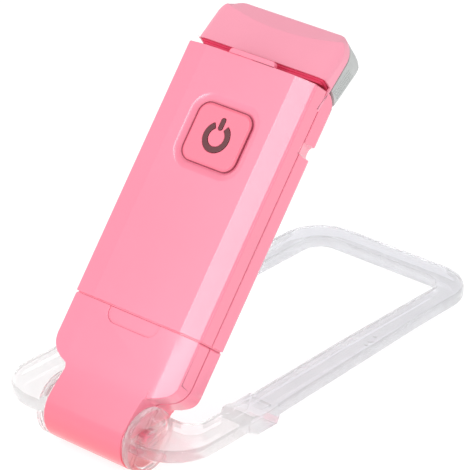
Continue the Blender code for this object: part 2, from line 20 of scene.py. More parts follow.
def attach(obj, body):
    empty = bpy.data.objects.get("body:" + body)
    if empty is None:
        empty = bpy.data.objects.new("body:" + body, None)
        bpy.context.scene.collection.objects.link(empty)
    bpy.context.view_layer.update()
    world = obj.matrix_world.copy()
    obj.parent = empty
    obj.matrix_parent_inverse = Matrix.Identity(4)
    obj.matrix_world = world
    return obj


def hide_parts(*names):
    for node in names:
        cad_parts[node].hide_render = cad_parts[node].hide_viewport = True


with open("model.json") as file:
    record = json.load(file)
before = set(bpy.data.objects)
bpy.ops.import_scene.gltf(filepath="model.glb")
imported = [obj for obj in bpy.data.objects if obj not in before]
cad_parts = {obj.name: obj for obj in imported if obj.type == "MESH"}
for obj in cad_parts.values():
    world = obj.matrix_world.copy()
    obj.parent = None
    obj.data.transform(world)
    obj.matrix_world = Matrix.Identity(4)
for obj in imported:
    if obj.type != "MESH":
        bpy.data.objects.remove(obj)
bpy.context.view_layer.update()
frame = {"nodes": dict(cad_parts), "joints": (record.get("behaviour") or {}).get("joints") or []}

LOG = logging.getLogger("reading_lamp")
MM = 0.001
Colour = tuple[float, float, float]
Point2 = tuple[float, float]


class Op(Enum):
    """How one solid changes another."""

    JOIN = "UNION"
    CUT = "DIFFERENCE"
    KEEP = "INTERSECT"


class Side(Enum):
    """The two sides of the lamp, seen from the front."""

    RIGHT = 1
    LEFT = -1

    def span(self, near: float, far: float) -> Point2:
        """Positions on this side, lowest first."""
        low, high = sorted((self.value * near, self.value * far))
        return low, high


# ------------------------------------------------------------ working frames
@dataclass(frozen=True)
class Axes:
    """A working frame: its origin and axes in the row frame."""

    origin: Vector
    x: Vector
    y: Vector
    z: Vector

    def matrix(self) -> Matrix:
        """Matrix from this frame's millimetres to the row frame's metres."""
        turn = Matrix((self.x, self.y, self.z)).transposed().to_4x4()
        return Matrix.Translation(self.origin) @ turn @ Matrix.Scale(MM, 4)

    def leaning(self, degrees: float, origin: Vector) -> "Axes":
        """The same axes turned back about X, at another origin.

        Args:
            degrees: Angle by which z leans towards +y.
            origin: Origin of the new frame.

        Returns:
            The turned frame.
        """
        c, s = math.cos(math.radians(degrees)), math.sin(math.radians(degrees))
        return Axes(origin, self.x, self.y * c - self.z * s, self.z * c + self.y * s)


@dataclass
class LampFrames:
    """Working frames of the lamp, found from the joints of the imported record."""

    seam_above_pivot: float = 23.2
    head_lean: float = 17.0
    loop_length: float = 101.3
    loop_underside: float = 0.2
    ear_radius: float = 7.25
    arm_slope: float = field(init=False)
    body: Axes = field(init=False)
    head: Axes = field(init=False)
    stand: Axes = field(init=False)

    def __post_init__(self) -> None:
        """Reads pivot, long axis, press axis and head hinge.

        The arms slope so far that the ears and the far bar touch the table.
        """
        joints = {j["name"]: j for j in frame["joints"]}
        along = Vector(joints["cap_pull"]["axis"]).normalized()
        inward = Vector(joints["button_press"]["axis"]).normalized()
        pivot = Vector(joints["bracket_hinge"]["pos_m"])
        hinge = Vector(joints["head_tilt"]["pos_m"])
        across = Vector((1.0, 0.0, 0.0))
        seam = pivot + along * self.seam_above_pivot * MM
        self.body = Axes(seam, across, inward, along)
        self.head = self.body.leaning(self.head_lean, hinge)
        self.arm_slope = math.degrees(math.atan(self.loop_underside / self.loop_length)
                                      + math.asin(self.ear_radius / self.loop_length))
        level = Axes(pivot, across, Vector((0, 1, 0)), Vector((0, 0, 1)))
        self.stand = level.leaning(self.arm_slope, pivot)


# ------------------------------------------------------------------ outlines
def rounded_rect(width: float, height: float, radius: float, centre: Point2 = (0.0, 0.0),
                 steps: int = 8) -> list[Point2]:
    """Corner-rounded rectangle, anticlockwise.

    Args:
        width: Size along the first coordinate.
        height: Size along the second coordinate.
        radius: Radius of its corners.
        centre: Its middle.
        steps: Segments in every corner.

    Returns:
        The outline's points.
    """
    points = []
    for quarter, (sx, sy) in enumerate(((1, 1), (-1, 1), (-1, -1), (1, -1))):
        ox = centre[0] + sx * (width / 2 - radius)
        oy = centre[1] + sy * (height / 2 - radius)
        for k in range(steps + 1):
            a = math.radians(90.0 * quarter + 90.0 * k / steps)
            points.append((ox + radius * math.cos(a), oy + radius * math.sin(a)))
    return points


def arc(centre: Point2, radius: float, start: float, end: float, steps: int) -> list[Point2]:
    """Points along an arc, angles in degrees."""
    turn = [math.radians(start + (end - start) * k / steps) for k in range(steps + 1)]
    return [(centre[0] + radius * math.cos(a), centre[1] + radius * math.sin(a)) for a in turn]


def ellipse_point(centre: Point2, radii: Point2, degrees: float) -> Vector:
    """Point of an ellipse at an angle from its first axis."""
    a = math.radians(degrees)
    return Vector((centre[0] + radii[0] * math.cos(a), centre[1] + radii[1] * math.sin(a)))


def filleted(corners: Sequence[tuple[float, float, float]], steps: int = 4) -> list[Point2]:
    """Closed outline whose corners are rounded.

    Args:
        corners: Each corner's two coordinates and its radius.
        steps: Segments in every corner's arc.

    Returns:
        The outline, with steps + 1 points at each corner.
    """
    points: list[Point2] = []
    for i, (a, b, radius) in enumerate(corners):
        here = Vector((a, b))
        back = Vector(corners[i - 1][:2]) - here
        ahead = Vector(corners[(i + 1) % len(corners)][:2]) - here
        half = back.angle(ahead) / 2
        reach = min(radius / math.tan(half), 0.46 * back.length, 0.46 * ahead.length)
        first, last = here + back.normalized() * reach, here + ahead.normalized() * reach
        bow = (back.normalized() + ahead.normalized()).normalized()
        middle = here + bow * (reach / math.cos(half))
        arm0, arm1 = first - middle, last - middle
        turn = math.atan2(arm0.x * arm1.y - arm0.y * arm1.x, arm0.dot(arm1))
        for k in range(steps + 1):
            c, s = math.cos(turn * k / steps), math.sin(turn * k / steps)
            points.append((middle.x + arm0.x * c - arm0.y * s,
                           middle.y + arm0.x * s + arm0.y * c))
    return points


# -------------------------------------------------------------- node graphs
class Graph:
    """Adds nodes to one tree and joins their sockets."""

    def __init__(self, tree: bpy.types.NodeTree) -> None:
        """Starts on a tree."""
        self.tree = tree

    def add(self, kind: str, inputs: Optional[dict] = None, **settings: object) -> bpy.types.Node:
        """Adds a node.

        Args:
            kind: Blender's name of the node type.
            inputs: Value or source socket for inputs, by name or number.
            settings: Attributes to set on the node first.

        Returns:
            The new node.
        """
        node = self.tree.nodes.new(kind)
        for name, value in settings.items():
            setattr(node, name, value)
        for key, value in (inputs or {}).items():
            if isinstance(value, bpy.types.NodeSocket):
                self.tree.links.new(value, node.inputs[key])
            else:
                node.inputs[key].default_value = value
        return node

    def math(self, operation: str, a: object, b: object = 0.0) -> bpy.types.NodeSocket:
        """Result of a math node."""
        return self.add("ShaderNodeMath", {0: a, 1: b}, operation=operation).outputs[0]

    def vector(self, operation: str, a: object, b: object) -> bpy.types.NodeSocket:
        """Result of a vector math node."""
        return self.add("ShaderNodeVectorMath", {0: a, 1: b}, operation=operation).outputs[0]

    def scaled(self, a: object, factor: object) -> bpy.types.NodeSocket:
        """A vector times a number."""
        node = self.add("ShaderNodeVectorMath", {0: a, "Scale": factor}, operation="SCALE")
        return node.outputs[0]


class ShaderGraph(Graph):
    """Node graph of one material, with its Principled shader."""

    def __init__(self, name: str) -> None:
        """Makes the material and its shader."""
        self.material = bpy.data.materials.new(name)
        self.material.use_nodes = True
        super().__init__(self.material.node_tree)
        self.shader = self.tree.nodes["Principled BSDF"]
        self.coords = self.add("ShaderNodeTexCoord").outputs["Object"]

    def constant(self, **values: object) -> None:
        """Sets shader sockets that are the same all over the piece.

        Args:
            values: Value of each socket, with underscores for the spaces in its name.
        """
        for name, value in values.items():
            socket = self.shader.inputs[name.replace("_", " ").title().replace("Ior", "IOR")]
            socket.default_value = value

    def drive(self, socket: str, source: bpy.types.NodeSocket) -> None:
        """Joins a pattern to a shader socket."""
        self.tree.links.new(source, self.shader.inputs[socket])

    def placed(self, scale: tuple[float, float, float], turn: float = 0.0) -> bpy.types.NodeSocket:
        """Object coordinates turned about X and scaled.

        Args:
            scale: Factor along each axis, so a pattern may run in one direction.
            turn: Turn about X in degrees, to follow the lean of a body.

        Returns:
            The mapped coordinates.
        """
        turned = self.add("ShaderNodeMapping", {
            "Vector": self.coords, "Rotation": (math.radians(turn), 0.0, 0.0)})
        return self.vector("MULTIPLY", turned.outputs[0], scale)

    def noise(self, scale: float, detail: float = 2.0,
              source: Optional[bpy.types.NodeSocket] = None) -> bpy.types.NodeSocket:
        """Noise pattern.

        Args:
            scale: Features per metre.
            detail: How many finer layers it has.
            source: Coordinates to read, or the piece's own where none are given.

        Returns:
            The pattern's value.
        """
        node = self.add("ShaderNodeTexNoise", {
            "Vector": source or self.coords, "Scale": scale, "Detail": detail})
        return node.outputs["Fac"]

    def spread(self, source: bpy.types.NodeSocket, low: float, high: float,
               start: float = 0.3, end: float = 0.7) -> bpy.types.NodeSocket:
        """Maps a pattern from one range of values to another.

        Args:
            source: The pattern.
            low: Result at the start of the range.
            high: Result at its end.
            start: Value of the pattern where the range starts.
            end: Value of the pattern where it ends.

        Returns:
            The mapped value.
        """
        return self.add("ShaderNodeMapRange", {
            "Value": source, "From Min": start, "From Max": end,
            "To Min": low, "To Max": high}).outputs[0]

    def tones(self, source: bpy.types.NodeSocket,
              stops: Sequence[tuple[float, Colour]]) -> bpy.types.NodeSocket:
        """Colours along a pattern.

        Args:
            source: The pattern.
            stops: Its values and the colour at each.

        Returns:
            The colour.
        """
        ramp = self.add("ShaderNodeValToRGB", {"Fac": source})
        elements = ramp.color_ramp.elements
        while len(elements) < len(stops):
            elements.new(0.5)
        for element, (position, colour) in zip(elements, stops):
            element.position = position
            element.color = (*colour, 1.0)
        return ramp.outputs["Color"]

    def bump(self, source: bpy.types.NodeSocket, depth_mm: float) -> None:
        """Raises the surface by a pattern."""
        node = self.add("ShaderNodeBump", {"Height": source, "Distance": depth_mm * MM})
        self.drive("Normal", node.outputs["Normal"])

    def surface(self, pattern: bpy.types.NodeSocket, stops: Sequence[tuple[float, Colour]],
                rough: Point2, depth_mm: float, over: Point2 = (0.3, 0.7)) -> None:
        """Takes colour, roughness and relief from one pattern.

        Args:
            pattern: The pattern.
            stops: Its values and the colour at each.
            rough: Roughness at its low and at its high end.
            depth_mm: Depth of the relief.
            over: Values of the pattern between which the roughness changes.
        """
        self.drive("Base Color", self.tones(pattern, stops))
        self.drive("Roughness", self.spread(pattern, *rough, *over))
        self.bump(pattern, depth_mm)


def srgb(red: int, green: int, blue: int) -> Colour:
    """Linear colour from screen values.

    Args:
        red: Red from 0 to 255.
        green: Green from 0 to 255.
        blue: Blue from 0 to 255.

    Returns:
        The colour as the shaders take it.
    """
    def line(value: int) -> float:
        """One channel."""
        v = value / 255.0
        return v / 12.92 if v <= 0.04045 else ((v + 0.055) / 1.055) ** 2.4
    return line(red), line(green), line(blue)


def shaded(colour: Colour, factor: float) -> Colour:
    """A colour made darker or lighter."""
    return tuple(min(1.0, c * factor) for c in colour)


# ------------------------------------------------------------------ finishes
@dataclass(frozen=True)
class Finish:
    """A finish of the lamp. Each kind builds its material once."""

    name: str
    colour: Colour
    roughness: float = 0.4

    def material(self) -> bpy.types.Material:
        """The finish's material, made on first use."""
        return bpy.data.materials.get(self.name) or self.build()

    def shades(self, low: float, high: float, start: float = 0.3,
               end: float = 0.7) -> tuple[tuple[float, Colour], tuple[float, Colour]]:
        """Colour stops from a darker to a lighter shade of the colour."""
        return (start, shaded(self.colour, low)), (end, shaded(self.colour, high))

    def rough(self, low: float, high: float) -> Point2:
        """Roughness from a smoother to a rougher share of the finish's own."""
        return self.roughness * low, self.roughness * high

    def build(self) -> bpy.types.Material:
        """Makes the material: a moulded surface with slight mottling.

        Returns:
            The material.
        """
        graph = ShaderGraph(self.name)
        mottle = graph.noise(260.0, 3.0)
        graph.drive("Base Color", graph.tones(mottle, self.shades(0.94, 1.05)))
        graph.drive("Roughness", graph.spread(graph.noise(700.0), *self.rough(0.85, 1.15)))
        graph.bump(graph.noise(2600.0, 1.0), 0.006)
        return graph.material


@dataclass(frozen=True)
class GlossPink(Finish):
    """Glossy moulded pink with a fine skin and painted shade: a deeper pink low down."""

    # Painted shade on the barrel's underside: its colour, heights in metres, fade.
    painted_shade: Colour = (0.93, 0.040, 0.062)
    painted_shade_top: float = 0.017
    painted_shade_bottom: float = 0.001
    painted_shade_fall: float = 1.35
    coat: float = 0.8

    def build(self) -> bpy.types.Material:
        """Makes the material.

        Returns:
            The material.
        """
        graph = ShaderGraph(self.name)
        cloud = graph.tones(graph.noise(34.0, 3.0), self.shades(0.97, 1.03))
        # Painted shade: the colour turns to a deeper, warmer pink towards the barrel's bottom.
        height = graph.add("ShaderNodeSeparateXYZ", {0: graph.coords}).outputs["Z"]
        low = graph.spread(height, 1.0, 0.0, self.painted_shade_bottom, self.painted_shade_top)
        share = graph.math("POWER", low, self.painted_shade_fall)
        mixed = graph.add("ShaderNodeMix", {"Factor": share}, data_type="RGBA")
        graph.tree.links.new(cloud, mixed.inputs[6])
        mixed.inputs[7].default_value = (*self.painted_shade, 1.0)
        graph.drive("Base Color", mixed.outputs[2])
        graph.drive("Roughness", graph.spread(graph.noise(480.0), *self.rough(0.92, 1.08)))
        graph.bump(graph.noise(900.0, 2.0), 0.003)
        graph.constant(coat_weight=self.coat, coat_roughness=0.2, ior=1.5)
        return graph.material


@dataclass(frozen=True)
class ClearPlastic(Finish):
    """Clear moulded plastic, water-clear at the ears and greyer along the arms as painted shade.
    """

    # Grey of the painted shade along the arms, and where it fades in from the ears.
    painted_shade_grey: Colour = (0.67, 0.675, 0.735)
    clear_until: float = -0.034
    painted_shade_from: float = -0.022
    clearness: float = 0.93
    solidity: float = 0.57

    def build(self) -> bpy.types.Material:
        """Makes the material.

        Returns:
            The material.
        """
        graph = ShaderGraph(self.name)
        # Painted shade: the colour turns from clear at the ears to grey along the arms.
        along = graph.add("ShaderNodeSeparateXYZ", {0: graph.coords}).outputs["Y"]
        flow = graph.spread(graph.noise(60.0, 2.0), -0.002, 0.002)
        reach = graph.spread(graph.math("ADD", along, flow), 0.0, 1.0,
                             self.clear_until, self.painted_shade_from)
        graph.drive("Base Color", graph.tones(reach, ((0.0, self.colour), (1.0, self.painted_shade_grey))))
        graph.drive("Roughness", graph.spread(graph.noise(180.0), *self.rough(0.6, 1.4)))
        graph.bump(graph.noise(90.0, 1.0), 0.012)
        graph.constant(transmission_weight=self.clearness, ior=1.38, alpha=self.solidity)
        return graph.material


@dataclass(frozen=True)
class FrostedLens(Finish):
    """Milky grey lens plastic with fine drawn streaks."""

    lean: float = 59.6

    def build(self) -> bpy.types.Material:
        """Makes the material.

        Returns:
            The material.
        """
        graph = ShaderGraph(self.name)
        streak = graph.noise(1.0, 3.0, graph.placed((620.0, 620.0, 50.0), self.lean))
        stops = ((0.3, shaded(self.colour, 0.80)), (0.5, self.colour),
                 (0.7, shaded(self.colour, 1.35)))
        graph.surface(streak, stops, self.rough(0.8, 1.2), 0.02)
        graph.constant(transmission_weight=0.25, ior=1.49)
        return graph.material


@dataclass(frozen=True)
class PrintedInk(Finish):
    """Dark printed ink with a painted sheen: lighter patches in its colour."""

    # Lightest colour of the painted sheen.
    light: Colour = srgb(66, 26, 38)

    def build(self) -> bpy.types.Material:
        """Makes the material.

        Returns:
            The material.
        """
        graph = ShaderGraph(self.name)
        # Painted sheen in the colour; the same pattern also varies the roughness.
        painted_sheen = graph.noise(420.0, 2.0)
        graph.drive("Base Color", graph.tones(painted_sheen, (
            (0.35, self.colour), (0.62, shaded(self.colour, 1.5)), (0.85, self.light))))
        graph.drive("Roughness", graph.spread(painted_sheen, *self.rough(1.0, 1.5)))
        graph.bump(graph.noise(3000.0, 1.0), 0.004)
        graph.constant(specular_ior_level=0.05)
        return graph.material


@dataclass(frozen=True)
class Metal(Finish):
    """Drawn or plated metal with fine brushing along its length."""

    lean: float = 42.6

    def build(self) -> bpy.types.Material:
        """Makes the material.

        Returns:
            The material.
        """
        graph = ShaderGraph(self.name)
        brushed = graph.noise(1.0, 4.0, graph.placed((3200.0, 3200.0, 160.0), self.lean))
        graph.surface(brushed, self.shades(0.86, 1.06), self.rough(0.75, 1.35), 0.003)
        graph.constant(metallic=1.0)
        return graph.material


@dataclass(frozen=True)
class CircuitBoard(Finish):
    """Solder-masked board with a tracery of copper runs under the mask."""

    trace: Colour = (0.05, 0.30, 0.12)
    lean: float = 42.6

    def build(self) -> bpy.types.Material:
        """Makes the material.

        Returns:
            The material.
        """
        graph = ShaderGraph(self.name)
        cells = graph.add("ShaderNodeTexVoronoi", {
            "Vector": graph.placed((1.0, 1.0, 1.0), self.lean), "Scale": 520.0},
            feature="DISTANCE_TO_EDGE", distance="EUCLIDEAN").outputs["Distance"]
        stops = ((0.05, self.trace), (0.09, self.colour), (0.4, shaded(self.colour, 0.8)))
        graph.surface(cells, stops, (0.3, 0.5), 0.01, (0.0, 0.2))
        return graph.material


@dataclass(frozen=True)
class Foil(Finish):
    """Wrinkled metal foil round the cell."""

    def build(self) -> bpy.types.Material:
        """Makes the material.

        Returns:
            The material.
        """
        graph = ShaderGraph(self.name)
        wrinkle = graph.noise(170.0, 6.0)
        graph.surface(wrinkle, self.shades(0.8, 1.0), (0.25, 0.5), 0.25)
        graph.constant(metallic=0.85)
        return graph.material


@dataclass(frozen=True)
class Foam(Finish):
    """Open-cell foam."""

    def build(self) -> bpy.types.Material:
        """Makes the material.

        Returns:
            The material.
        """
        graph = ShaderGraph(self.name)
        pores = graph.add("ShaderNodeTexVoronoi", {
            "Vector": graph.coords, "Scale": 1400.0}).outputs["Distance"]
        graph.surface(pores, self.shades(0.55, 1.2, 0.1, 0.6), (0.85, 1.0), 0.2, (0.0, 1.0))
        return graph.material


@dataclass(frozen=True)
class Phosphor(Finish):
    """Yellow phosphor gel of an LED, in its pale package."""

    def build(self) -> bpy.types.Material:
        """Makes the material.

        Returns:
            The material.
        """
        graph = ShaderGraph(self.name)
        grain = graph.noise(2400.0, 3.0)
        graph.surface(grain, self.shades(0.85, 1.08), (0.2, 0.4), 0.01)
        graph.constant(coat_weight=0.6)
        return graph.material


class Finishes:
    """Every finish of the lamp."""

    SKIN = GlossPink("gloss_pink", (0.94, 0.236, 0.348), 0.30)
    HEAD = GlossPink("satin_pink", (0.92, 0.330, 0.440), 0.40, coat=0.3)
    BUTTON = GlossPink("button_pink", (0.94, 0.196, 0.288), 0.38, coat=0.2)
    # Deep pink; on the head foot it is painted shade of the gap under the head.
    DEEP = Finish("deep_pink", (0.78, 0.085, 0.190), 0.5)
    # Dark crimson of the ring in the key's gap: painted shade.
    PAINTED_GAP_SHADE = Finish("painted_gap_shade", (0.30, 0.020, 0.055), 0.5)
    INK = PrintedInk("maroon_ink", (0.040, 0.008, 0.014), 0.6)
    CLEAR = ClearPlastic("clear_moulding", (0.985, 0.972, 0.975), 0.03)
    LENS = FrostedLens("frosted_lens", srgb(200, 200, 198), 0.42)
    STEEL = Metal("plated_steel", (0.62, 0.62, 0.62), 0.28)
    GOLD = Metal("gilded_contact", (0.83, 0.60, 0.24), 0.25)
    BOARD = CircuitBoard("green_board", (0.02, 0.15, 0.06), 0.4)
    BLACK = Finish("black_moulding", (0.035, 0.035, 0.037), 0.45)
    WHITE = Finish("white_moulding", (0.80, 0.80, 0.78), 0.42)
    FOIL = Foil("cell_foil", (0.72, 0.73, 0.75), 0.35)
    FOAM = Foam("grey_foam", (0.24, 0.24, 0.25), 0.9)
    LED = Phosphor("phosphor_gel", (0.90, 0.74, 0.22), 0.3)


# -------------------------------------------------------------------- solids
def baked(obj: bpy.types.Object) -> bpy.types.Mesh:
    """Applies an object's modifiers.

    Args:
        obj: The object, which stays as it is.

    Returns:
        The result as a plain mesh.
    """
    graph = bpy.context.evaluated_depsgraph_get()
    graph.update()
    return bpy.data.meshes.new_from_object(obj.evaluated_get(graph))


def discard(obj: bpy.types.Object) -> None:
    """Removes an object and its mesh.

    Args:
        obj: The object.
    """
    mesh = obj.data
    bpy.data.objects.remove(obj)
    bpy.data.meshes.remove(mesh)


class Solid:
    """One closed piece while it is modelled, in millimetres of a working frame."""

    def __init__(self, mesh: bpy.types.Mesh) -> None:
        """Wraps a mesh in an object of its own."""
        self.obj = bpy.data.objects.new("solid", mesh)
        bpy.context.scene.collection.objects.link(self.obj)

    @classmethod
    def faces(cls, verts: Sequence[Sequence[float]], faces: Sequence[Sequence[int]]) -> "Solid":
        """Solid from points and faces, turned outwards.

        Args:
            verts: The points.
            faces: Numbers of each face's points.

        Returns:
            The solid.
        """
        bm = bmesh.new()
        made = [bm.verts.new(v) for v in verts]
        for face in faces:
            bm.faces.new([made[i] for i in face])
        bmesh.ops.recalc_face_normals(bm, faces=bm.faces)
        mesh = bpy.data.meshes.new("solid")
        bm.to_mesh(mesh)
        bm.free()
        return cls(mesh)

    @classmethod
    def loft(cls, rings: Sequence[Sequence[Sequence[float]]]) -> "Solid":
        """Solid through rings, closed at both ends.

        Args:
            rings: Points of each ring, equally many in all.

        Returns:
            The solid.
        """
        count = len(rings[0])
        faces = [(r * count + k, r * count + (k + 1) % count,
                  (r + 1) * count + (k + 1) % count, (r + 1) * count + k)
                 for r in range(len(rings) - 1) for k in range(count)]
        last = (len(rings) - 1) * count
        faces += [tuple(range(count)), tuple(range(last, last + count))]
        return cls.faces([p for ring in rings for p in ring], faces)

    @classmethod
    def loop(cls, rings: Sequence[Sequence[Sequence[float]]]) -> "Solid":
        """Hollow ring through rings, the last joined to the first.

        Args:
            rings: Points of each ring, equally many in all.

        Returns:
            The solid.
        """
        count, turns = len(rings[0]), len(rings)
        faces = [(r * count + k, r * count + (k + 1) % count,
                  (r + 1) % turns * count + (k + 1) % count, (r + 1) % turns * count + k)
                 for r in range(turns) for k in range(count)]
        return cls.faces([p for ring in rings for p in ring], faces)

    @classmethod
    def prism(cls, axis: str, outline: Sequence[Point2], lo: float, hi: float) -> "Solid":
        """Outline extruded along an axis.

        Args:
            axis: The axis.
            outline: Points in the other two coordinates.
            lo: Where it starts along the axis.
            hi: Where it ends.

        Returns:
            The solid.
        """
        def place(a: float, b: float, c: float) -> tuple[float, float, float]:
            """Point from two outline coordinates and one along the axis."""
            return {"X": (c, a, b), "Y": (a, c, b), "Z": (a, b, c)}[axis]
        return cls.loft([[place(a, b, c) for a, b in outline] for c in (lo, hi)])

    @classmethod
    def block(cls, x: Point2, y: Point2, z: Point2) -> "Solid":
        """Box from three ranges."""
        return cls.prism("Z", [(x[0], y[0]), (x[1], y[0]), (x[1], y[1]), (x[0], y[1])], *z)

    @classmethod
    def turned(cls, axis: str, centre: Point2, profile: Sequence[Point2],
               sides: int = 32) -> "Solid":
        """Turned solid.

        Args:
            axis: Axis of the turning.
            centre: Where the axis passes, in the other two coordinates.
            profile: Position along the axis and radius, from end to end.
            sides: Segments round the axis.

        Returns:
            The solid, closed by a flat face at each end.
        """
        rings = []
        for along, radius in profile:
            ring = arc(centre, radius, 0.0, 360.0, sides)[:-1]
            rings.append([{"X": (along, a, b), "Y": (a, along, b), "Z": (a, b, along)}[axis]
                          for a, b in ring])
        return cls.loft(rings)

    @classmethod
    def node(cls, name: str, axes: Axes) -> "Solid":
        """Copy of a CAD node with its doubles merged.

        Args:
            name: The node.
            axes: Working frame to bring it into.

        Returns:
            The copy.
        """
        bm = bmesh.new()
        bm.from_mesh(frame["nodes"][name].data)
        bm.transform(axes.matrix().inverted())
        bmesh.ops.remove_doubles(bm, verts=bm.verts, dist=0.002)
        bmesh.ops.dissolve_limit(bm, angle_limit=math.radians(0.4), verts=bm.verts,
                                 edges=bm.edges)
        bmesh.ops.dissolve_degenerate(bm, dist=0.002, edges=bm.edges)
        mesh = bpy.data.meshes.new(name)
        mesh.from_pydata([v.co[:] for v in bm.verts], [],
                         [[v.index for v in f.verts] for f in bm.faces])
        bm.free()
        return cls(mesh)

    def combine(self, op: Op, tools: Iterable["Solid"]) -> "Solid":
        """Applies exact booleans and discards the tools.

        Args:
            op: What the tools do.
            tools: The other solids.

        Returns:
            This solid.
        """
        for tool in tools:
            mod = self.obj.modifiers.new("combine", "BOOLEAN")
            mod.operation, mod.solver, mod.object = op.value, "EXACT", tool.obj
            self.swap(baked(self.obj))
            discard(tool.obj)
        return self

    def swap(self, mesh: bpy.types.Mesh) -> None:
        """Takes a new mesh and drops the modifiers and the old mesh.

        Args:
            mesh: The new mesh.
        """
        old = self.obj.data
        self.obj.modifiers.clear()
        self.obj.data = mesh
        bpy.data.meshes.remove(old)

    def cut(self, *tools: "Solid") -> "Solid":
        """Takes the tools away."""
        return self.combine(Op.CUT, tools)

    def join(self, *tools: "Solid") -> "Solid":
        """Adds the tools."""
        return self.combine(Op.JOIN, tools)

    def keep(self, *tools: "Solid") -> "Solid":
        """Keeps what lies inside the tools."""
        return self.combine(Op.KEEP, tools)

    def soften(self, width: float, segments: int = 3, angle: float = 32.0) -> "Solid":
        """Rounds the edges.

        Args:
            width: Width of the rounding in millimetres.
            segments: Faces across it.
            angle: Edges flatter than this angle in degrees stay as they are.

        Returns:
            This solid.
        """
        bm = bmesh.new()
        bm.from_mesh(self.obj.data)
        bmesh.ops.remove_doubles(bm, verts=bm.verts, dist=0.004)
        bmesh.ops.dissolve_limit(bm, angle_limit=math.radians(0.4), verts=bm.verts,
                                 edges=bm.edges)
        bm.to_mesh(self.obj.data)
        bm.free()
        mod = self.obj.modifiers.new("soften", "BEVEL")
        mod.width, mod.segments = width, segments
        mod.limit_method, mod.angle_limit = "ANGLE", math.radians(angle)
        mod.use_clamp_overlap = False
        mod.miter_outer = "MITER_ARC"
        self.swap(baked(self.obj))
        return self

    def crisp_folds(self) -> None:
        """Keeps long edges of 7 to 10 degrees sharp."""
        bm = bmesh.new()
        bm.from_mesh(self.obj.data)
        for edge in bm.edges:
            if edge.is_manifold and edge.calc_length() > 2.0 * MM:
                if 7.0 < math.degrees(edge.calc_face_angle()) < 10.0:
                    edge.smooth = False
        bm.to_mesh(self.obj.data)
        bm.free()

    def settle(self, name: str, axes: Axes, body: str, finish: Finish,
               stands_for: Sequence[str], slot: str, smooth: float = 38.0,
               folds: bool = False) -> bpy.types.Object:
        """Places, shades and dresses the finished piece, and sets it on its body.

        Args:
            name: Name of the piece.
            axes: Working frame that it was modelled in.
            body: CAD body that it rides on.
            finish: Its finish.
            stands_for: CAD nodes that it replaces.
            slot: The record's material slot.
            smooth: Edges sharper than this angle in degrees stay sharp.
            folds: Whether the long shallow folds of the body stay crisp as well.

        Returns:
            The piece.
        """
        obj = self.obj
        obj.data.transform(axes.matrix())
        obj.data.shade_smooth()
        obj.data.set_sharp_from_angle(angle=math.radians(smooth))
        if folds:
            self.crisp_folds()
        mod = obj.modifiers.new("even_shading", "WEIGHTED_NORMAL")
        mod.keep_sharp, mod.weight = True, 50
        self.swap(baked(obj))
        obj.name = obj.data.name = name
        obj.data.materials.clear()
        obj.data.materials.append(finish.material())
        return placed(obj, body, stands_for, slot)


def placed(obj: bpy.types.Object, body: str, stands_for: Sequence[str],
           slot: str) -> bpy.types.Object:
    """Sets a finished piece on its body and reports it.

    Args:
        obj: The piece.
        body: CAD body that it rides on.
        stands_for: CAD nodes that it replaces.
        slot: The record's material slot.

    Returns:
        The piece.
    """
    if stands_for:
        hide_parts(*stands_for)
    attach(obj, body)
    LOG.info("%s on %s: %d faces, %s", obj.name, body, len(obj.data.polygons), slot)
    return obj


def moulded(node: str, name: str, axes: Axes, body: str, finish: Finish, slot: str,
            edge: float, segments: int = 3, folds: bool = False) -> bpy.types.Object:
    """Makes a finished piece of a CAD node by rounding its edges.

    Args:
        node: The CAD node, which the piece replaces.
        name: Name of the piece.
        axes: Working frame to model it in.
        body: CAD body that it rides on.
        finish: Its finish.
        slot: The record's material slot.
        edge: Width of the rounding in millimetres.
        segments: Faces across the rounding.
        folds: Whether its long shallow folds stay crisp.

    Returns:
        The piece.
    """
    solid = Solid.node(node, axes).soften(edge, segments, 40.0)
    return solid.settle(name, axes, body, finish, [node], slot, folds=folds)


def redress(node: str, finish: Finish) -> None:
    """Gives a CAD node a finish in all its material slots.

    Args:
        node: The node, whose shape stays as it is.
        finish: Its finish.
    """
    obj = frame["nodes"][node]
    for holder in obj.material_slots:
        holder.material = finish.material()
    LOG.info("%s dressed as %s", node, finish.name)


# -------------------------------------------------------- repeats and sweeps
class NodeForm:
    """A Geometry Nodes tree with named inputs, whose result becomes a plain mesh."""

    def __init__(self, name: str, sockets: dict[str, str]) -> None:
        """Makes the tree.

        Args:
            name: Name of the tree.
            sockets: Type of each named input after the geometry.
        """
        tree = bpy.data.node_groups.new(name, "GeometryNodeTree")
        tree.interface.new_socket("Geometry", in_out="OUTPUT", socket_type="NodeSocketGeometry")
        tree.interface.new_socket("Geometry", in_out="INPUT", socket_type="NodeSocketGeometry")
        for label, kind in sockets.items():
            tree.interface.new_socket(label, in_out="INPUT", socket_type=f"NodeSocket{kind}")
        self.graph = Graph(tree)
        self.given = self.graph.add("NodeGroupInput").outputs

    def close(self, geometry: bpy.types.NodeSocket) -> None:
        """Ends the tree with Realize Instances and Set Material.

        Args:
            geometry: The tree's result so far.
        """
        real = self.graph.add("GeometryNodeRealizeInstances", {"Geometry": geometry})
        coloured = self.graph.add("GeometryNodeSetMaterial", {
            "Geometry": real.outputs[0], "Material": self.given["Finish"]})
        self.graph.add("NodeGroupOutput", {"Geometry": coloured.outputs[0]})

    def apply(self, source: bpy.types.Mesh, values: dict[str, object]) -> "Solid":
        """Runs the tree on a mesh.

        Args:
            source: The mesh that the tree starts from.
            values: Value of each named input.

        Returns:
            The result as a plain solid.
        """
        solid = Solid(source)
        mod = solid.obj.modifiers.new("form", "NODES")
        mod.node_group = self.graph.tree
        for item in self.graph.tree.interface.items_tree:
            if item.in_out == "INPUT" and item.name in values:
                mod[item.identifier] = values[item.name]
        solid.swap(baked(solid.obj))
        return solid


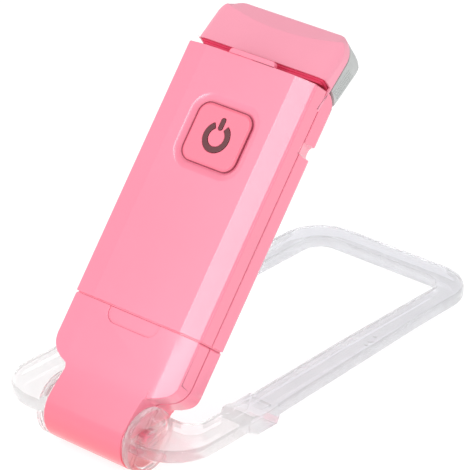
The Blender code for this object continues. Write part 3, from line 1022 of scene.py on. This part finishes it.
def scatter_form() -> NodeForm:
    """Tree that sets a part at marked points, each turned a little about an axis.

    Returns:
        The tree, with the part, axis, widest turn, seed and finish as inputs.
    """
    form = NodeForm("part_at_points", {
        "Part": "Object", "Axis": "Vector", "Turn": "Float", "Seed": "Int",
        "Finish": "Material"})
    graph, given = form.graph, form.given
    part = graph.add("GeometryNodeObjectInfo", {"Object": given["Part"]})
    angle = graph.add("FunctionNodeRandomValue", {"Seed": given["Seed"]}, data_type="FLOAT")
    graph.tree.links.new(given["Turn"], angle.inputs[3])
    turn = graph.add("FunctionNodeAxisAngleToRotation", {
        "Axis": given["Axis"], "Angle": angle.outputs[1]})
    spots = graph.add("GeometryNodeInstanceOnPoints", {
        "Points": given["Geometry"], "Instance": part.outputs["Geometry"],
        "Rotation": turn.outputs[0]})
    form.close(spots.outputs[0])
    return form


def sweep_form() -> NodeForm:
    """Tree that sweeps an edge-rounded bar along a marked path.

    The path's points lie on the bar's middle, and their attribute "across"
    reaches from the middle to the bar's outer edge.

    Returns:
        The tree, with the bar's thickness, edge rounding and finish as inputs.
    """
    form = NodeForm("rounded_bar_on_path", {
        "Thickness": "Float", "Edge radius": "Float", "Edge steps": "Int",
        "Finish": "Material"})
    graph, given = form.graph, form.given
    path = graph.add("GeometryNodeMeshToCurve", {"Mesh": given["Geometry"]})
    across = graph.add("GeometryNodeInputNamedAttribute", {"Name": "across"},
                       data_type="FLOAT_VECTOR")
    kept_reach = graph.add("GeometryNodeCaptureAttribute", {"Geometry": path.outputs[0]})
    kept_reach.capture_items.new("VECTOR", "reach")
    kept_reach.capture_items.new("VECTOR", "middle")
    graph.tree.links.new(across.outputs[0], kept_reach.inputs["reach"])
    graph.tree.links.new(graph.add("GeometryNodeInputPosition").outputs[0],
                         kept_reach.inputs["middle"])
    width = 6.0
    section = graph.add("GeometryNodeCurvePrimitiveQuadrilateral", {
        "Width": width, "Height": given["Thickness"]})
    rounded = graph.add("GeometryNodeFilletCurve", {
        "Curve": section.outputs[0], "Radius": given["Edge radius"],
        "Count": given["Edge steps"]}, mode="POLY")
    kept_section = graph.add("GeometryNodeCaptureAttribute", {"Geometry": rounded.outputs[0]})
    kept_section.capture_items.new("VECTOR", "corner")
    graph.tree.links.new(graph.add("GeometryNodeInputPosition").outputs[0],
                         kept_section.inputs["corner"])
    swept = graph.add("GeometryNodeCurveToMesh", {
        "Curve": kept_reach.outputs[0], "Profile Curve": kept_section.outputs[0],
        "Fill Caps": True})
    corner = graph.add("ShaderNodeSeparateXYZ", {0: kept_section.outputs["corner"]}).outputs
    sign = graph.math("SIGN", corner["X"])
    inset = graph.math("SUBTRACT", graph.math("ABSOLUTE", corner["X"]), width / 2)
    reach = kept_reach.outputs["reach"]
    unit = graph.add("ShaderNodeVectorMath", {0: reach}, operation="NORMALIZE").outputs[0]
    lift = graph.add("ShaderNodeCombineXYZ", {"Z": corner["Y"]}).outputs[0]
    side = graph.vector("ADD", graph.scaled(reach, sign),
                        graph.scaled(unit, graph.math("MULTIPLY", inset, sign)))
    spot = graph.vector("ADD", graph.vector("ADD", kept_reach.outputs["middle"], side), lift)
    moved = graph.add("GeometryNodeSetPosition", {
        "Geometry": swept.outputs[0], "Position": spot})
    form.close(moved.outputs[0])
    return form


def scattered(part: Solid, spots: Sequence[Sequence[float]], finish: Finish,
              turn: float = 0.0, seed: int = 0) -> Solid:
    """Sets copies of a part at spots and discards the part.

    Args:
        part: The part, modelled round the origin.
        spots: Where the copies go.
        finish: Their finish.
        turn: Widest turn of a copy about Y, in radians.
        seed: Seed of the turns.

    Returns:
        All the copies as one solid.
    """
    points = bpy.data.meshes.new("points")
    points.from_pydata([tuple(spot) for spot in spots], [], [])
    made = scatter_form().apply(points, {
        "Part": part.obj, "Axis": (0.0, 1.0, 0.0), "Turn": turn, "Seed": seed,
        "Finish": finish.material()})
    discard(part.obj)
    return made


# ----------------------------------------------------------- shared features
@dataclass
class CrossScrews:
    """Self-tapping screws with a cross recess, driven from the back."""

    head_radius: float = 1.6
    head_base: float = 3.75
    head_top: float = 4.7
    tip: float = -3.4
    shank_radius: float = 0.8
    recess: float = 0.55
    cross: Point2 = (1.75, 0.42)

    def one(self) -> Solid:
        """One screw, its axis on the working frame's Y.

        Returns:
            The screw.
        """
        r, top, base = self.head_radius, self.head_top, self.head_base
        s = self.shank_radius
        profile = [(self.tip, 0.12), (self.tip + 1.0, s), (base - 0.1, s), (base, r * 0.96),
                   (base + 0.12, r), (top - 0.45, r), (top - 0.2, r * 0.93),
                   (top - 0.06, r * 0.78), (top, r * 0.5)]
        screw = Solid.turned("Y", (0.0, 0.0), profile, 32)
        for w, h in (self.cross, self.cross[::-1]):
            screw.cut(Solid.block((-w / 2, w / 2), (top - self.recess, top + 0.5),
                                  (-h / 2, h / 2)))
        return screw.soften(0.05, 1, 40.0)

    def dress(self, name: str, spots: Sequence[Point2], axes: Axes, body: str,
              nodes: Sequence[str]) -> bpy.types.Object:
        """Sets the screws at their bosses.

        Args:
            name: Name of the piece.
            spots: Across and along positions of the bosses.
            axes: Working frame of the body.
            body: CAD body that the screws ride on.
            nodes: CAD nodes that they stand for.

        Returns:
            All the screws as one piece.
        """
        made = scattered(self.one(), [(x, 0.0, z) for x, z in spots], Finishes.STEEL, 1.5, 5)
        return made.settle(name, axes, body, Finishes.STEEL, nodes, "steel")


# ------------------------------------------------------------------- housing
@dataclass
class Housing:
    """Upper housing: front and rear shells and their screws."""

    axes: Axes
    front_y: float = -5.6
    button: tuple[float, float, float] = (14.5, 13.2, 2.7)
    button_z: float = 41.8
    dish_width: float = 2.3
    dish_depth: float = 0.66
    gap: float = 0.3
    edge: float = 0.22
    screw_spots: tuple[Point2, ...] = ((12.8, 5.3), (12.8, 51.5), (-12.8, 5.3), (-12.8, 51.5))

    def dish(self) -> Solid:
        """Cutter for the smooth dish round the button.

        Returns:
            The cutter, widest at the front.
        """
        width, height, radius = self.button
        rings = []
        for k in range(-1, 21):
            share = max(0.0, k / 20)
            out = self.dish_width + (0.4 - self.dish_width) * share
            depth = self.dish_depth * share ** 1.5
            y = self.front_y + (depth if k >= 0 else -0.4) + 1e-4
            outline = rounded_rect(width + 2 * out, height + 2 * out, radius + out,
                                   (0.0, self.button_z), 16)
            rings.append([(x, y, z) for x, z in outline])
        return Solid.loft(rings)

    def gasket(self) -> Solid:
        """Gasket that closes the seam above the cap.

        Returns:
            The gasket, open where the plug passes.
        """
        flat, edge = 12.4, 17.55
        outline = filleted([(-flat, -5.2, 0.3), (flat, -5.2, 0.3), (edge, -4.4, 0.4),
                            (edge, 4.5, 1.0), (-edge, 4.5, 1.0), (-edge, -4.4, 0.4)], 4)
        ring = Solid.prism("Z", outline, -0.12, 0.3)
        return ring.cut(Solid.block((-7.0, 7.0), (-3.4, 2.7), (-1.0, 1.0)))

    def key_lining(self) -> Solid:
        """Dark ring in the key's opening, clear of the key: painted shade of the shadowed gap.

        Returns:
            The ring of painted shade.
        """
        width, height, radius = self.button
        rings = []
        for out, y in ((self.gap, -5.3), (self.gap, -4.3), (0.08, -4.3), (0.08, -5.3)):
            outline = rounded_rect(width + 2 * out, height + 2 * out, radius + out,
                                   (0.0, self.button_z), 10)
            rings.append([(x, y, z) for x, z in outline])
        return Solid.loop(rings)

    def build(self) -> None:
        """Makes and dresses both shells and the screws."""
        front = Solid.node("front_shell", self.axes).cut(self.dish())
        front.soften(0.16, 3, 7.5)
        front.settle("housing_front", self.axes, "housing", Finishes.SKIN,
                     ["front_shell"], "pink_gloss")
        moulded("rear_shell", "housing_rear", self.axes, "housing", Finishes.SKIN,
                "pink_gloss", self.edge)
        self.gasket().settle("seam_gasket", self.axes, "housing", Finishes.SKIN, [], "pink_gloss")
        # Dark ring in the key's gap: painted shade of the shadowed gap round the key.
        self.key_lining().settle("key_lining", self.axes, "housing", Finishes.PAINTED_GAP_SHADE, [],
                                 "deep_pink")
        CrossScrews().dress("housing_screws", self.screw_spots, self.axes, "housing",
                            [f"shell_screw_{n}" for n in range(1, 5)])


@dataclass
class PowerButton:
    """Square key with its inlaid power symbol."""

    axes: Axes
    edge: float = 0.18
    symbol_edge: float = 0.05

    def build(self) -> None:
        """Makes and dresses the key and the symbol."""
        moulded("power_button", "power_key", self.axes, "button", Finishes.BUTTON,
                "pink_button", self.edge)
        for node in ("symbol_ring", "symbol_bar"):
            moulded(node, f"inked_{node}", self.axes, "button", Finishes.INK,
                    "maroon_ink", self.symbol_edge, 2)


# ----------------------------------------------------------------------- cap
@dataclass
class Cap:
    """Pull-off cap: shells with the pivot barrel, liner, bushes and screws."""

    axes: Axes
    edge: float = 0.15
    screw_spots: tuple[Point2, ...] = tuple((side.value * 11.6, -6.4) for side in Side)

    def build(self) -> None:
        """Makes and dresses the cap's pieces."""
        for node, name in (("cap_front", "cap_face"), ("cap_rear", "cap_back")):
            moulded(node, name, self.axes, "cap", Finishes.SKIN, "pink_gloss", self.edge,
                    folds=True)
        CrossScrews().dress("cap_screws", self.screw_spots, self.axes, "cap",
                            ["cap_screw_1", "cap_screw_2"])
        for side in ("right", "left"):
            moulded(f"pivot_bush_{side}", f"bush_{side}", self.axes, "cap", Finishes.DEEP,
                    "deep_pink", self.edge, 2)
        redress("plug_liner", Finishes.WHITE)


# ------------------------------------------------------------------- bracket
@dataclass
class Bracket:
    """Clear loop bracket with its two ears, in the bracket's frame."""

    axes: Axes
    slope: float
    plate: Point2 = (0.2, 3.2)
    edge_radius: float = 0.85
    far: Point2 = (94.5, 101.3)
    bends: Point2 = (4.2, 11.0)
    ear: Point2 = (11.35, 13.25)
    ear_radius: float = 7.25
    ear_hole: float = 1.9
    pivot_height: float = 7.10
    nubs: tuple[tuple[float, float, float], ...] = (
        (24.2, 61.0, 0.9), (23.6, 63.2, 0.6), (24.5, 58.9, 0.5))

    def outer(self, y: float) -> float:
        """Outer half width at a distance from the pivot."""
        return 27.2 - 2.2 * max(0.0, min(1.0, (y - 24.0) / 56.0))

    def inner(self, y: float) -> float:
        """Inner half width at a distance from the pivot."""
        return 19.2 - 0.8 * max(0.0, min(1.0, (y - 24.0) / 36.0))

    def stations(self) -> list[tuple[Vector, Vector]]:
        """Outer and inner edge points along the right half of the loop.

        Returns:
            Pairs of points, from the ear round the horn and along the arm to the
            middle of the far bar.
        """
        pairs = [(Vector((self.ear[0] + 0.3, -7.1)), Vector((self.ear[0] + 0.3, 6.7)))]
        horn = 15.5
        for k in range(15):
            turn = 90.0 * k / 14 - 90.0
            pairs.append((ellipse_point((horn, 4.0), (11.7, 11.2), turn),
                          ellipse_point((horn, 11.0), (3.7, 4.1), turn)))
        for y in (15.0, 19.0, 24.0, 30.0, 38.0, 48.0, 58.0, 68.0, 78.0, 86.0):
            pairs.append((Vector((self.outer(y), y)), Vector((self.inner(y), y))))
        tight, wide = self.bends
        inside = (self.inner(90.0) - tight, self.far[0] - tight)
        outside = (self.outer(90.0) - wide, self.far[1] - wide)
        for k in range(13):
            turn = 90.0 * k / 12
            pairs.append((ellipse_point(outside, (wide, wide), turn),
                          ellipse_point(inside, (tight, tight), turn)))
        return pairs

    def path(self) -> bpy.types.Mesh:
        """Middle line of the loop.

        Returns:
            Mesh of the line from ear to ear, with its reach to the outer edge.
        """
        right = self.stations()
        left = [(Vector((-o.x, o.y)), Vector((-i.x, i.y))) for o, i in reversed(right)]
        pairs = right + left
        middle = (self.plate[0] + self.plate[1]) / 2
        mesh = bpy.data.meshes.new("loop_path")
        mesh.from_pydata([(*((o + i) / 2), middle) for o, i in pairs],
                         [(k, k + 1) for k in range(len(pairs) - 1)], [])
        across = mesh.attributes.new("across", "FLOAT_VECTOR", "POINT")
        across.data.foreach_set("vector", [c for o, i in pairs for c in (*((o - i) / 2), 0.0)])
        return mesh

    def ear_disc(self, side: Side) -> Solid:
        """Round ear with a raised rim on its outer face.

        Args:
            side: The ear's side.

        Returns:
            The ear, pierced for the pivot.
        """
        near, far = self.ear
        r, s = self.ear_radius, side.value
        profile = [(near, r - 0.3), (near + 0.3, r), (far - 0.35, r), (far - 0.1, r - 0.12),
                   (far, r - 0.4), (far, r - 1.1), (far - 0.35, r - 1.4),
                   (far - 0.35, 3.2), (far - 0.1, 2.9), (far - 0.1, self.ear_hole + 0.2),
                   (far - 0.25, self.ear_hole), (near + 0.15, self.ear_hole),
                   (near, self.ear_hole + 0.15)]
        rings = [[(s * along, a, b) for a, b in arc((0.0, 0.0), radius, 0.0, 360.0, 64)[:-1]]
                 for along, radius in profile]
        return Solid.loop(rings)

    def step(self, side: Side) -> Solid:
        """Thickened step across one arm, with a low foot and two knuckles.

        Args:
            side: The arm's side.

        Returns:
            The step.
        """
        lo, hi = self.plate
        profile = [(15.6, hi - 0.4), (16.4, hi + 0.7), (18.0, hi + 0.7), (19.4, hi + 0.15),
                   (25.6, hi + 0.15), (25.6, lo + 0.4), (24.8, lo - 1.2), (18.6, lo - 1.2),
                   (15.6, lo + 0.3)]
        block = Solid.prism("X", profile, *side.span(self.inner(20.0) - 0.1,
                                                     self.outer(20.0) + 0.3))
        block.soften(0.3, 3, 30.0)
        rim, s = self.outer(20.0) + 0.3, side.value
        for y, z, radius, reach in ((23.6, lo + 0.1, 1.5, 2.6), (17.0, hi + 0.1, 0.75, 7.0)):
            profile = [(s * (rim - reach), radius * 0.7), (s * (rim - reach + 0.3), radius),
                       (s * (rim - 0.45), radius), (s * (rim - 0.1), radius * 0.8),
                       (s * rim, radius * 0.4)]
            block.join(Solid.turned("X", (y, z), profile, 28))
        return block

    def build(self) -> None:
        """Makes the loop as one clear moulding and dresses it."""
        loop = sweep_form().apply(self.path(), {
            "Thickness": self.plate[1] - self.plate[0], "Edge radius": self.edge_radius,
            "Edge steps": 5, "Finish": Finishes.CLEAR.material()})
        bm = bmesh.new()
        bm.from_mesh(loop.obj.data)
        bmesh.ops.remove_doubles(bm, verts=bm.verts, dist=0.001)
        bmesh.ops.recalc_face_normals(bm, faces=bm.faces)
        bm.to_mesh(loop.obj.data)
        bm.free()
        top = self.plate[1]
        for side in Side:
            hole = Solid.turned("X", (0.0, 0.0), [
                (side.value * (self.ear[0] - 1), self.ear_hole),
                (side.value * (self.ear[1] + 0.2), self.ear_hole)], 40)
            loop.cut(hole)
            loop.join(self.ear_disc(side), self.step(side))
            pocket = [(20.6, top + 0.2), (24.6, top + 0.2), (24.6, top - 0.5)]
            loop.cut(Solid.prism("X", pocket, *side.span(20.4, 25.8)))
            for x, y, radius in self.nubs:
                loop.join(Solid.turned("Z", (side.value * x, y), [
                    (top - 0.5, radius), (top + 0.08, radius), (top + 0.16, radius * 0.8),
                    (top + 0.2, radius * 0.4)], 20))
        table = Solid.block((-60, 60), (-60, 160), (-30, 0))
        table.obj.data.transform(Matrix.Rotation(math.radians(self.slope), 4, "X")
                                 @ Matrix.Translation((0, 0, -self.pivot_height)))
        loop.cut(table)
        loop.settle("clear_bracket", self.axes, "bracket", Finishes.CLEAR,
                    ["bracket"], "clear_plastic", 34.0)


# ---------------------------------------------------------------------- head
@dataclass
class Head:
    """Tilting head: cover, lens, base and the lights, in the head's frame."""

    axes: Axes
    half_width: float = 18.0
    front: float = -3.9
    rear: float = 4.5
    bottom: float = 7.28
    ridge: float = 19.03
    corner: float = 6.0
    skirt: float = 0.5
    crease: float = 14.3
    crease_rise: float = 2.6
    lens_top: tuple[float, float] = (18.75, 3.7)
    gap: float = 0.3
    edge: float = 0.2
    led_z: float = 12.6
    led_spots: tuple[float, ...] = (-12.4, -6.2, 0.0, 6.2, 12.4)

    def fall(self, reach: float, width: float) -> float:
        """How far a rounded end has fallen, from 0 where it starts to 1 at the end."""
        share = max(0.0, reach - (self.half_width - width)) / width
        return 1.0 - math.sqrt(max(0.0, 1.0 - share * share))

    def section(self, x: float) -> list[tuple[float, float, float]]:
        """Side profile of the head.

        Args:
            x: Position across its width.

        Returns:
            The profile's points.
        """
        reach = abs(x)
        over = max(0.0, reach - (self.half_width - self.corner))
        ceiling = self.ridge - (self.corner - math.sqrt(max(0.0, self.corner ** 2 - over ** 2)))
        rise = self.crease_rise * (reach / self.half_width) ** 2
        crease = min(self.crease + rise, ceiling - 0.7)
        front = self.front + 1.3 * self.fall(reach, 2.0)
        rear = self.rear - 1.0 * self.fall(reach, 1.3)
        outline = filleted([
            (front, self.bottom - self.skirt, 0.05), (front, crease, 0.3),
            (front * 0.5, self.ridge, 0.9), (rear, *self.lens_top), (rear, 1.0, 0.05),
            (-0.6, 1.0, 0.05), (-0.6, self.bottom - self.skirt, 0.05)], 5)
        return [(x, y, min(z, ceiling)) for y, z in outline]

    def outer(self) -> Solid:
        """Outer form of cover and lens together.

        Returns:
            The form, before the two are parted.
        """
        plain = self.half_width - self.corner
        half = [plain + self.corner * math.sin(math.radians(a))
                for a in (90, 84, 77, 69, 61, 53, 45, 37, 29, 21, 13, 6)]
        half += [plain - 1.6, 10.4, 8.0, 5.6, 3.2, 1.2]
        spots = [-x for x in half] + half[::-1]
        return Solid.loft([self.section(x) for x in spots])

    def behind(self, extra: float) -> Solid:
        """Region behind the slanted joint between cover and lens."""
        return Solid.prism("X", [(1.0 + extra, 0.0), (12.0, 0.0), (12.0, 24.0),
                                 (-1.75 + extra, 24.0)], -20, 20)

    def cover(self) -> None:
        """Pink cover."""
        room = rounded_rect(32.8, 8.2, 1.5, (0.0, 12.6), 4)
        cover = self.outer().cut(self.behind(-self.gap),
                                 Solid.block((-17.3, 17.3), (-3.3, 20), (-1, self.bottom)),
                                 Solid.prism("Y", room, -2.6, 6.0))
        cover.soften(self.edge, 3, 34.0)
        cover.settle("head_shell", self.axes, "head", Finishes.HEAD,
                     ["head_cover"], "pink_satin")

    def lens(self) -> None:
        """Frosted lens and the fine ribs over it."""
        lens = self.outer().keep(self.behind(0.0))
        sweep = Solid.turned("X", (0.0, 0.0), [(-20, 6.7), (20, 6.7)], 96)
        lens.cut(Solid.block((-16.8, 16.8), (-4.0, 3.4), (-2.0, 15.4)), sweep)
        lens.soften(self.edge, 3, 34.0)
        lens.settle("lens_cover", self.axes, "head", Finishes.LENS,
                    ["head_lens"], "frosted_lens")
        rib = Solid.prism("Z", arc((0.0, 0.0), 0.27, 0.0, 360.0, 12)[:-1], 6.9, 13.0)
        rear, side = self.rear - 0.12, self.half_width - 0.1
        spots = [(1.15 * k, rear, 0.0) for k in range(-13, 14)]
        spots += [(s.value * side, 1.1 + 0.72 * k, 0.0) for s in Side for k in range(4)]
        scattered(rib, spots, Finishes.LENS).settle(
            "lens_ribs", self.axes, "head", Finishes.LENS, [], "frosted_lens")

    def lights(self) -> None:
        """Row of LEDs on their board."""
        led = Solid.block((-1.4, 1.4), (-1.25, -0.75), (-1.4, 1.4)).soften(0.12, 2, 40.0)
        gel = Solid.turned("Y", (0.0, 0.0), [(-0.9, 1.05), (-0.72, 1.0), (-0.64, 0.8),
                                            (-0.6, 0.4)], 24)
        led.join(gel)
        row = scattered(led, [(x, 0.0, self.led_z) for x in self.led_spots], Finishes.LED)
        row.settle("led_row", self.axes, "head", Finishes.LED,
                   [f"led_{n}" for n in range(1, 6)], "led_emitter")
        redress("led_board", Finishes.WHITE)

    def build(self) -> None:
        """Makes and dresses the head's pieces."""
        self.cover()
        self.lens()
        # Painted shade: the foot, filled out to the head's bottom, is deep pink for the shadowed
        # gap.
        filler = Solid.block((-16.9, 16.9), (-3.1, 1.2), (6.45, self.bottom - 0.02))
        base = Solid.node("head_base", self.axes).join(filler).soften(0.1, 2, 40.0)
        base.settle("head_foot", self.axes, "head", Finishes.DEEP, ["head_base"], "deep_pink")
        self.lights()


# ------------------------------------------------------------------ contents
@dataclass
class Contents:
    """Electronics, cell and charging plug inside the housing."""

    axes: Axes
    contact_spots: tuple[float, ...] = (-3.5, -1.0, 1.0, 3.5)
    plug_y: float = -0.35

    def contacts(self) -> None:
        """Row of gilded contacts on the plug's tongue."""
        strip = Solid.block((-0.5, 0.5), (self.plug_y - 0.2, self.plug_y), (-10.8, 3.0))
        strip.soften(0.08, 2, 40.0)
        row = scattered(strip, [(x, 0.0, 0.0) for x in self.contact_spots], Finishes.GOLD)
        row.settle("plug_contacts", self.axes, "housing", Finishes.GOLD,
                   [f"usb_contact_{n}" for n in range(1, 5)], "gold_contact")

    def build(self) -> None:
        """Dresses everything inside the housing."""
        for node, name, finish, slot, edge in (
                ("usb_shell", "plug_sleeve", Finishes.STEEL, "steel", 0.12),
                ("usb_tongue", "plug_tongue", Finishes.WHITE, "white_plastic", 0.12),
                ("battery_cell", "cell_pouch", Finishes.FOIL, "cell_foil", 0.6),
                ("hinge_pin", "head_pin", Finishes.STEEL, "steel", 0.15)):
            moulded(node, name, self.axes, "housing", finish, slot, edge)
        self.contacts()
        for node, finish in (("main_board", Finishes.BOARD), ("usb_board", Finishes.BOARD),
                             ("control_chip", Finishes.BLACK), ("charge_chip", Finishes.BLACK),
                             ("boost_coil", Finishes.BLACK), ("tact_switch", Finishes.BLACK),
                             ("battery_pad", Finishes.FOAM)):
            redress(node, finish)


# -------------------------------------------------------------------- studio
@dataclass(frozen=True)
class Softbox:
    """Area light that faces the lamp, its long side up the lamp's lean."""

    name: str
    spot: tuple[float, float, float]
    width: float
    length: float
    watts: float
    lean: tuple[float, float, float] = (0.0, 0.737, 0.676)

    def place(self, target: Sequence[float]) -> None:
        """Makes the light.

        Args:
            target: What it faces.
        """
        data = bpy.data.lights.new(self.name, "AREA")
        data.shape, data.energy = "RECTANGLE", self.watts
        data.size, data.size_y = self.width, self.length
        light = bpy.data.objects.new(self.name, data)
        back = (Vector(self.spot) - Vector(target)).normalized()
        lean = Vector(self.lean)
        up = (lean - back * lean.dot(back)).normalized()
        turn = Matrix((up.cross(back), up, back)).transposed().to_4x4()
        light.matrix_world = Matrix.Translation(self.spot) @ turn
        bpy.context.scene.collection.objects.link(light)


@dataclass
class Studio:
    """Pale floor, soft light and the camera."""

    eye: tuple[float, float, float] = (0.412845, -0.462685, 0.387400)
    azimuth: float = 41.89593
    elevation: float = 29.87118
    roll: float = -2.6640
    lens: float = 249.833
    target: tuple[float, float, float] = (0.0, -0.02, 0.03)
    sky: float = 0.93
    zenith: float = 0.48
    sky_turn: float = 0.45
    floor_tone: float = 0.30
    floor_glow: float = 0.82
    floor_half: float = 6.0
    floor_drop: float = 0.0002
    softboxes: tuple[Softbox, ...] = (
        Softbox("key_light", (-0.165, -0.342, 0.377), 0.13, 0.32, 0.66),
        Softbox("fold_light", (-0.22, -0.325, 0.358), 0.02, 0.26, 0.12),
        Softbox("edge_light", (0.45, -0.29, 0.32), 0.03, 0.20, 0.45))

    def camera(self) -> None:
        """Camera at the viewing angle."""
        data = bpy.data.cameras.new("view")
        data.lens, data.sensor_width = self.lens, 36.0
        data.clip_start, data.clip_end = 0.05, 20.0
        camera = bpy.data.objects.new("view", data)
        turn = (Matrix.Rotation(math.radians(self.azimuth), 4, "Z")
                @ Matrix.Rotation(math.radians(90.0 - self.elevation), 4, "X")
                @ Matrix.Rotation(math.radians(self.roll), 4, "Z"))
        camera.matrix_world = Matrix.Translation(self.eye) @ turn
        bpy.context.scene.collection.objects.link(camera)
        bpy.context.scene.camera = camera

    def floor(self) -> None:
        """Wide pale floor."""
        mesh = bpy.data.meshes.new("floor")
        corners = ((-1, -1), (1, -1), (1, 1), (-1, 1))
        mesh.from_pydata([(x * self.floor_half, y * self.floor_half, -self.floor_drop)
                          for x, y in corners], [], [(0, 1, 2, 3)])
        graph = ShaderGraph("pale_floor")
        graph.drive("Base Color", graph.tones(graph.noise(3.0), (
            (0.0, (self.floor_tone,) * 3), (1.0, (self.floor_tone * 1.01,) * 3))))
        graph.constant(roughness=0.9, specular_ior_level=0.0,
                       emission_color=(1.0, 1.0, 1.0, 1.0),
                       emission_strength=self.floor_glow)
        mesh.materials.append(graph.material)
        obj = bpy.data.objects.new("floor", mesh)
        bpy.context.scene.collection.objects.link(obj)

    def build(self) -> None:
        """Makes the whole studio."""
        scene = bpy.context.scene
        scene.view_settings.view_transform = "Standard"
        world = bpy.data.worlds.new("soft_white")
        scene.world = world
        world.use_nodes = True
        graph = Graph(world.node_tree)
        direction = graph.add("ShaderNodeTexCoord").outputs["Generated"]
        height = graph.add("ShaderNodeSeparateXYZ", {0: direction}).outputs["Z"]
        strength = graph.add("ShaderNodeMapRange", {
            "Value": height, "From Min": self.sky_turn, "From Max": 1.0,
            "To Min": self.sky, "To Max": self.zenith}).outputs[0]
        background = world.node_tree.nodes["Background"]
        background.inputs["Color"].default_value = (1, 1, 1, 1)
        graph.tree.links.new(strength, background.inputs["Strength"])
        self.camera()
        self.floor()
        for light in self.softboxes:
            light.place(self.target)


def main() -> None:
    """Builds the lamp and its studio."""
    logging.basicConfig(level=logging.INFO, format="%(name)s: %(message)s")
    frames = LampFrames()
    Studio().build()
    Housing(frames.body).build()
    PowerButton(frames.body).build()
    Cap(frames.body).build()
    Bracket(frames.stand, frames.arm_slope).build()
    Head(frames.head).build()
    Contents(frames.body).build()


if __name__ == "__main__":
    main()
